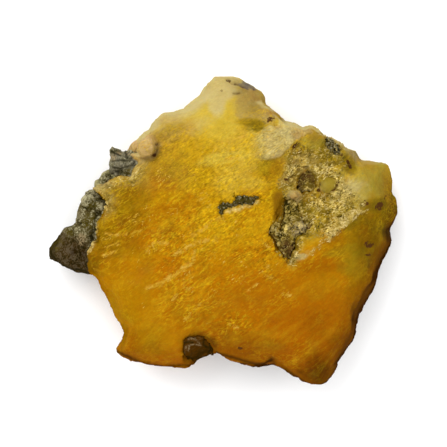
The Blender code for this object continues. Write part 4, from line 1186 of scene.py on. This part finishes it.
FLANK_GREY, PATCH_GREY, SERPENTINE_DARK = (0.36, 0.29, 0.150), (0.10, 0.082, 0.066), (0.036, 0.031, 0.005)
RUST_SPOT, STAIN_AND_SHADOW_BROWN = (0.055, 0.018, 0.005), (0.050, 0.018, 0.0006)
# From foot to peak, and then the patches in the order in which they are laid over each other.
# The ramp is partly painted light: lighter toward the upper end and darker toward the foot.
ALONG_THE_STONE = [(0.06, DEEP_AMBER), (0.24, ORANGE), (0.50, HONEY), (0.76, GOLDEN), (0.94, LEMON_YELLOW)]
TINTS = (
    ("gold", GOLDEN, 0.5), ("amber", DEEP_AMBER, 0.5), ("right_olive", RIGHT_GREEN, 0.85),
    ("green_side", OLIVE_TAN, 0.9), ("lime", LIME_YELLOW, 0.85), ("lemon", LEMON_YELLOW, 0.85),
    ("tan", WARM_TAN, 0.85), ("olive", OLIVE_GREEN, 0.85), ("cream", PALE_CREAM, 0.85),
    ("rosy", ROSY_GOLD, 0.6), ("low_gold", LOW_LEFT_GOLD, 0.7), ("warm_centre", WARM_GOLD, 0.65),
    ("boss", PINK_TAN, 0.95), ("torn", TORN_TAN, 0.85), ("flank", FLANK_GREY, 0.8),
    # low_shade and olive_rim darken the lower right and the right rim, partly as painted shade.
    ("low_shade", RIM_ORANGE, 0.6), ("olive_rim", RIM_OLIVE, 0.75),
)
print("tints:", ", ".join(name for name, *_ in TINTS))


# %% The broad colour and the broken places
STONE_HEIGHT = 70.0


def brucite_colour(place):
    """The broad colour over the whole stone, as a wire."""
    up = place.node("SeparateXYZ", {}, {"Vector": place}, 1)
    bend = cloud(place, 14.0, 3.0) - 0.5
    height = up * (1.0 / (STONE_HEIGHT * MM)) + 0.5 + 0.16 * bend
    colour = place.node("ValToRGB", {"stops": ALONG_THE_STONE}, {"Fac": height})
    patchy = cloud(place, 3.2, 3.0, seed=3.0)
    for name, tint, share in TINTS:
        colour = colour.toward(tint, stored(place, name) * (share * (0.7 + 0.6 * patchy)))
    return colour


def broken(colour, place, rough_here, stands, dark):
    """Broken mineral, laid over a colour: tan, with cream edges, darker pits and cracks, and dark rock."""
    grit, fibre = cloud(place, 0.36, 2.0, 0.6, 9.0), streaks(place, 38.0, 1.3, 0.24, 10.0)
    cross = streaks(place, -12.0, 1.1, 0.24, 21.0)
    mix = 0.25 * grit + 0.40 * fibre + 0.35 * cross + 0.18 * (stands - 0.5)
    patch, clusters = cloud(place, 2.2, 2.0, 0.6, 19.0), stored(place, "clusters")
    rough_here = rough_here * (0.45 + 0.55 * patch.soft(0.40, 0.54) + 0.4 * clusters)
    crack = streaks(place, 30.0, 3.4, 1.2, 18.0).ridge(0.025)
    colour = colour.toward(SCAR_TAN, rough_here * 0.5)
    colour = colour.toward(SERPENTINE_DARK, dark * (mix + 0.6 * (patch - 0.5)).soft(0.56, 0.48) * 0.95)
    cream = (mix + 0.04 * clusters - 0.025 * dark).soft(0.525, 0.575)
    colour = colour.toward(SCAR_CREAM, rough_here * cream * (0.75 + 0.25 * clusters))
    # Darker in low places and along the crack streaks.
    colour = colour.toward(SCAR_DARK_BROWN, rough_here * ((mix + 0.02).soft(0.47, 0.41) + 0.5 * crack) * 0.9)
    light_and_dark = cloud(place, 1.2, 1.0, 0.5, 22.0).soft(0.38, 0.62)
    return colour.shaded(1.0 + rough_here * (0.7 * light_and_dark - 0.40))


print("broken places are", SCAR_TAN, "with edges of", SCAR_CREAM)


# %% The small pattern, the gloss and the bump
def finish_brucite(material, place):
    """Adds the small pattern, the gloss and the bump, and connects it all."""
    rough_here, stands = stored(place, "rough"), stored(place, "height")
    large, blotch = cloud(place, 6.0, 2.0, seed=4.0), cloud(place, 2.4, 3.0, seed=5.0)
    mottle, speck = cloud(place, 0.9, 3.0, 0.6, 6.0), cloud(place, 0.42, 1.0, seed=7.0)
    fibre = streaks(place, 42.0, 2.4, 0.45, 1.0) * 0.6 + streaks(place, 20.0, 2.0, 0.45, 2.0) * 0.4
    hair = streaks(place, 34.0, 0.9, 0.24, 24.0)
    wrinkle, band = streaks(place, 36.0, 2.6, 0.8, 3.0).ridge(0.045), streaks(place, 38.0, 14.0, 2.2, 13.0)
    patchy = 0.7 * cloud(place, 5.0, 2.0, seed=8.0).soft(0.40, 0.62) + 0.6 * stored(place, "lively")

    colour = brucite_colour(place)
    busy = 1.0 - 0.55 * stored(place, "calm")
    streaky = busy * (1.0 - 0.75 * stored(place, "cream"))
    fine = busy * (0.85 + 0.75 * stored(place, "lively"))
    deep = 0.30 * blotch.soft(0.50, 0.72) * busy + 0.32 * large.soft(0.48, 0.66)
    colour = colour.toward(DEEP_AMBER, deep * (1.0 - 0.8 * stored(place, "lemon")))
    colour = colour.toward(OLIVE_GREEN, 0.25 * large.soft(0.48, 0.32))
    colour = colour.toward(STREAK_GOLD, 0.30 * streaky * band.soft(0.50, 0.66))
    colour = colour.toward(STREAK_GOLD, (0.35 * patchy + 0.08) * streaky * fibre.soft(0.50, 0.62))
    colour = colour.toward(STREAK_GOLD, (0.70 * patchy + 0.15) * streaky * wrinkle)
    # Painted shade: the sides are darkened, and so are the places in the shade masks.
    darker = (1.0 - 0.22 * stored(place, "side")) * (1.0 - 0.38 * stored(place, "shade"))
    colour = colour.shaded((0.95 + fine * (0.75 * mottle + 0.90 * hair + 0.35 * speck - 1.0)) * darker)
    colour = colour.toward(WALL_BROWN, 0.9 * stored(place, "wall"))
    colour = broken(colour, place, rough_here * 0.9, stands, stored(place, "dark"))
    colour = colour.toward(PEBBLE_OLIVE, 0.85 * stored(place, "pebble"))
    colour = colour.toward(CREASE_GOLD, stored(place, "crease") * (1.4 * fibre.soft(0.42, 0.60) - 0.1))
    colour = colour.toward(CRUSHED_WHITE, stored(place, "crushed") * (0.25 + 0.9 * mottle.soft(0.38, 0.60)))
    # Rock stain, which right of the bottom lump is also a painted shadow.
    colour = colour.toward(STAIN_AND_SHADOW_BROWN, stored(place, "stain") * (0.5 + 0.6 * blotch))
    # Painted shade, in part: the rims at the right and bottom, the sides turned away from the lamp and the
    # lower right tip are darkened.
    colour = colour.toward(RIM_ORANGE, stored(place, "warm_rim") * 0.75)
    colour = colour.toward(BROWN, stored(place, "edge") * 0.92)
    # Sides facing the lamp at the upper end are made cream, partly as a painted highlight.
    colour = colour.toward(PALE_CREAM, stored(place, "pale_side") * 0.85)
    colour = colour.toward(PATCH_GREY, stored(place, "grey_patch") * (0.3 + 1.1 * mottle))
    spot = stored(place, "spot")
    eaten = (spot + 2.6 * (mottle - 0.5) + 1.6 * (speck - 0.5)).soft(0.50, 0.90)
    colour = colour.toward(RUST_SPOT, spot.soft(0.0, 0.25) * eaten * 0.92)
    colour = colour.toward(RUST_SPOT, stored(place, "crack") * (0.10 + 1.4 * mottle))

    relief = busy * (0.6 * mottle + 0.5 * speck + 0.7 * patchy * fibre + 0.3 * wrinkle)
    relief = relief + rough_here * (0.8 * speck)
    normal = place.node("Bump", {}, {"Strength": 0.6, "Distance": 0.0004, "Height": relief})
    surface = place.node("BsdfPrincipled", {}, {
        "Base Color": colour,
        "Roughness": 0.34 + 0.30 * rough_here + 0.15 * mottle,
        "Normal": normal,
        "IOR": 1.57,
        "Specular IOR Level": 0.0,
        "Coat Weight": 0.03 * (1.0 - stored(place, "side")) * (1.0 - rough_here),
        "Coat Roughness": 0.35,
        "Subsurface Weight": 0.12,
        "Subsurface Radius": (1.0, 0.45, 0.10),
        "Subsurface Scale": 0.0012,
    })
    place.node("OutputMaterial", {}, {"Surface": surface})
    return material


waxy_brucite = finish_brucite(*new_material("waxy_brucite"))
brucite.data.materials.clear()
brucite.data.materials.append(waxy_brucite)
print(waxy_brucite.name, "has", len(waxy_brucite.node_tree.nodes), "nodes")

# %% [markdown]
# ## The splinters' and crumbs' materials
#
# A thin splinter holds little colour, so it looks nearly white, with some of the yellow showing through.
# It is a little glossier than the scar round it, because each one is a fresh cleavage face. Crumbs are a
# mix of pale mineral and stained mineral.


# %% Make the splinters' and crumbs' materials
def make_small_material(name, dark, middle, pale, gloss):
    """A ramp of three colours over noise of a millimetre, so that neighbours differ."""
    material, place = new_material(name)
    shade = cloud(place, 1.1, 2.0, seed=11.0)
    colour = place.node("ValToRGB", {"stops": [(0.36, dark), (0.50, middle), (0.64, pale)]}, {"Fac": shade})
    surface = place.node("BsdfPrincipled", {}, {
        "Base Color": colour,
        "Roughness": gloss + 0.2 * shade,
        "IOR": 1.57,
        "Specular IOR Level": 0.04,
    })
    place.node("OutputMaterial", {}, {"Surface": surface})
    return material


splinters.data.materials.append(make_small_material(
    "splinter_white", (0.31, 0.20, 0.020), (0.48, 0.35, 0.09), (0.68, 0.54, 0.22), 0.4))
flakes.data.materials.append(make_small_material(
    "flake_gold", (0.38, 0.19, 0.002), (0.45, 0.25, 0.010), (0.54, 0.33, 0.05), 0.45))
crumbs.data.materials.append(make_small_material(
    "crumb_tan", (0.050, 0.032, 0.003), (0.24, 0.165, 0.024), (0.48, 0.37, 0.13), 0.5))
print("materials so far:", [material.name for material in bpy.data.materials if material.users])

# %% [markdown]
# ## The rock's materials
#
# Serpentine rock is a felt of tiny green, grey and black grains. Salt-and-pepper noise at a third of a
# millimetre gives the grains. A second noise at three millimetres makes some areas browner and others
# silvery. The grain is darker in the pits and paler where the surface stands out. Faces that turn down
# on the lower parts are blackened as painted shade. The big piece on the left is grey-green above and
# nearly black below.

# %% Make the rock materials
BLACK_GRAIN, GREEN_GRAIN, OLIVE_GRAIN = (0.010, 0.008, 0.001), (0.050, 0.044, 0.006), (0.075, 0.055, 0.006)
GREY_GRAIN, PALE_GRAIN, SHELL_CREAM = (0.140, 0.124, 0.060), (0.44, 0.40, 0.23), (0.42, 0.37, 0.17)
BROWN_GRAIN, FINE_BROWN, STREAK_GREY = (0.055, 0.020, 0.001), (0.036, 0.018, 0.003), (0.20, 0.16, 0.07)
WORN_GREY, RING_BROWN, SILVER = (0.085, 0.062, 0.036), (0.095, 0.045, 0.012), (0.185, 0.168, 0.125)
LINE_GREY = (0.26, 0.195, 0.10)


def make_rock_material(
    name, brightness, calm=0.0, brown=0.0, pale=0.0, crushed=0.0, ring=0.0, smooth_end=False,
    shell=0.0, olive=0.0, silver=0.0,
):
    """Salt-and-pepper rock.

    Shares: how calm the grain is, brown areas, pale flecks, crushed brucite, a brown ring where it meets
    the brucite, a cream shell, olive between the grains, and silver areas. A smooth end is darker, worn.
    """
    material, place = new_material(name)
    grain, region = cloud(place, 0.34, 2.0, 0.6, 14.0), cloud(place, 3.0, 3.0, seed=15.0)
    fleck = cloud(place, 0.42, 1.0, seed=16.0).soft(0.60, 0.68)
    lines = streaks(place, 30.0, 1.6, 0.35, 17.0)
    stands = stored(place, "height")
    stops = [(0.38, BLACK_GRAIN), (0.48, GREEN_GRAIN), (0.58, GREY_GRAIN), (0.71, PALE_GRAIN)]
    pepper = grain * (1.0 - calm) + (0.47 + 0.12 * region) * calm + 0.35 * (stands - 0.5)
    colour = place.node("ValToRGB", {"stops": stops}, {"Fac": pepper})
    colour = colour.toward(BROWN_GRAIN, brown * (0.25 + 0.75 * region.soft(0.35, 0.62)))
    colour = colour.toward(PALE_GRAIN, pale * fleck)
    colour = colour.toward(SILVER, silver * (0.15 + 0.85 * region.soft(0.40, 0.56)) * (0.3 + 0.9 * grain))
    colour = colour.toward(STREAK_GREY, 0.5 * (1.0 - calm) * lines.soft(0.56, 0.64))
    colour = colour.toward(OLIVE_GRAIN, olive * grain.soft(0.62, 0.46))
    # Darker where the surface lies lower than its surroundings.
    colour = colour.toward(BLACK_GRAIN, 0.75 * stands.soft(0.45, 0.15))
    if smooth_end:
        end = stored(place, "smooth_end")
        worn = grain + 0.8 * (cloud(place, 1.8, 2.0, 0.5, 23.0) - 0.5)
        colour = colour.toward(FINE_BROWN, 0.85 * end)
        colour = colour.toward(WORN_GREY, 0.85 * end * worn.soft(0.50, 0.64))
        colour = colour.toward(BLACK_GRAIN, 0.8 * end * worn.soft(0.46, 0.36))
    if crushed:
        colour = colour.toward(SCAR_TAN, crushed * 0.9)
        colour = broken(colour, place, crushed, stands, stored(place, "dark"))
    colour = colour.toward(OLIVE_GRAIN, 0.9 * stored(place, "green") * grain.soft(0.62, 0.42))
    colour = colour.toward(LINE_GREY, 0.9 * stored(place, "pale_lines") * grain.soft(0.38, 0.56))
    colour = colour.toward(BLACK_GRAIN, stored(place, "cracks") * (0.3 + 1.0 * grain))
    # Painted shade on the turned-down faces of the lower part.
    colour = colour.toward(BLACK_GRAIN, 0.7 * stored(place, "turned"))
    if shell:
        colour = colour.toward(SHELL_CREAM, shell * stored(place, "shell") * (0.4 + 0.8 * grain))
    if ring:
        colour = colour.toward(RING_BROWN, ring * stored(place, "ring") * (0.5 + grain))
    colour = colour.shaded(brightness * (0.7 + 0.6 * region))
    normal = place.node("Bump", {}, {"Strength": 0.6, "Distance": 0.0003, "Height": grain})
    surface = place.node("BsdfPrincipled", {}, {
        "Base Color": colour,
        "Roughness": 0.65 + 0.3 * grain,
        "Normal": normal,
        "Specular IOR Level": 0.0,
    })
    place.node("OutputMaterial", {}, {"Surface": surface})
    return material


print("grains from", BLACK_GRAIN, "to", PALE_GRAIN)

# %% The look of each rock
ROCK_LOOKS = {
    "serpentine_lump_left": {
        "name": "serpentine_grey_green", "brightness": 0.98, "calm": 0.20, "brown": 0.3, "pale": 0.8,
        "smooth_end": True, "silver": 0.10},
    "serpentine_nub_left": {
        "name": "serpentine_green", "brightness": 0.82, "calm": 0.2, "brown": 0.1, "pale": 0.5,
        "shell": 0.9},
    "serpentine_shard_upper_left": {
        "name": "serpentine_pale_grey", "brightness": 0.96, "calm": 0.15, "pale": 0.7, "silver": 0.7},
    "serpentine_lump_bottom": {"name": "serpentine_brown", "brightness": 1.0, "calm": 0.80, "brown": 4.0},
    "serpentine_wedge_centre": {
        "name": "serpentine_dark", "brightness": 0.62, "brown": 0.6, "pale": 0.3, "olive": 0.9},
    "serpentine_crust_in_hollow": {
        "name": "serpentine_mottled", "brightness": 0.9, "brown": 0.5, "pale": 0.6, "crushed": 1.0,
        "ring": 0.8},
    "serpentine_patch_in_pocket": {
        "name": "serpentine_umber", "brightness": 0.85, "brown": 1.5, "pale": 0.4, "crushed": 1.0,
        "ring": 0.9},
    "serpentine_grain_upper_right": {
        "name": "serpentine_grey", "brightness": 0.85, "brown": 0.3, "pale": 0.5},
}
for node, look in ROCK_LOOKS.items():
    rocks[node].data.materials.clear()
    rocks[node].data.materials.append(make_rock_material(**look))
print("rock materials:", len(ROCK_LOOKS))

# %% [markdown]
# ## Fix the pieces to the frame
#
# Each fine piece stands in for the packed node it was copied from, and moves with the one body. The
# splinters and crumbs are extra, and ride along.

# %% Place every piece in the frame
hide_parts("brucite_mass")
for piece in (brucite, splinters, flakes, crumbs):
    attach(piece, "root")
for node, rock in rocks.items():
    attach(rock, "root")
    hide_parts(node)
print("pieces in the frame:", 4 + len(rocks))

# %% [markdown]
# ## Table, light and camera
#
# The stone lies on a plain white table and is seen from straight above. A large soft lamp high on the
# upper left gives soft shading to the relief. Weaker lamps and a pale room fill the shadows.

# %% The table
TABLE_SIZE = 1.6
shape = bmesh.new()
bmesh.ops.create_grid(shape, x_segments=1, y_segments=1, size=TABLE_SIZE / 2)
table_mesh = bpy.data.meshes.new("table")
shape.to_mesh(table_mesh)
shape.free()
table = bpy.data.objects.new("table", table_mesh)
bpy.context.scene.collection.objects.link(table)
table_white, place = new_material("table_white")
white = {"Base Color": (0.97, 0.97, 0.97, 1.0), "Roughness": 0.9, "Specular IOR Level": 0.1}
place.node("OutputMaterial", {}, {"Surface": place.node("BsdfPrincipled", {}, white)})
table_mesh.materials.append(table_white)
print("the table is", TABLE_SIZE, "m wide")


# %% The room and the lamps
def add_lamp(name, place, size, power):
    """A square soft lamp that points at the middle of the table."""
    lamp = bpy.data.lights.new(name, "AREA")
    lamp.size, lamp.energy = size, power
    holder = bpy.data.objects.new(name, lamp)
    holder.location = place
    holder.rotation_euler = (-Vector(place)).to_track_quat("-Z", "Y").to_euler()
    bpy.context.scene.collection.objects.link(holder)


ROOM_BRIGHTNESS = 0.98
# A lamp is its name, its place and its width in metres, and its power in watts.
LAMPS = (
    ("soft_lamp_upper_left", (-0.25, 0.34, 0.50), 0.50, 2.5),
    ("soft_lamp_right", (0.50, 0.10, 0.40), 0.40, 0.8),
    ("soft_lamp_front", (-0.05, -0.50, 0.40), 0.40, 0.8),
)
room = bpy.data.worlds.new("pale_room")
room.use_nodes = True
room.node_tree.nodes["Background"].inputs["Color"].default_value = (1.0, 1.0, 1.0, 1.0)
room.node_tree.nodes["Background"].inputs["Strength"].default_value = ROOM_BRIGHTNESS
bpy.context.scene.world = room
for lamp in LAMPS:
    add_lamp(*lamp)
print("soft lamps:", len(LAMPS))

# %% The camera
CAMERA_DISTANCE, CAMERA_SHIFT, CAMERA_LENS = 0.556, 0.00138, 200.0
camera_data = bpy.data.cameras.new("camera")
camera_data.lens = CAMERA_LENS
camera = bpy.data.objects.new("camera", camera_data)
camera.location = (0.0, CAMERA_SHIFT, CAMERA_DISTANCE)
bpy.context.scene.collection.objects.link(camera)
bpy.context.scene.camera = camera
bpy.context.scene.view_settings.view_transform = "Standard"
print("camera looks down from", CAMERA_DISTANCE, "m")

# %% [markdown]
# ## The size
#
# The fine surface must not outgrow the packed stone, and every point is kept inside the packed model's box
# as it moves.
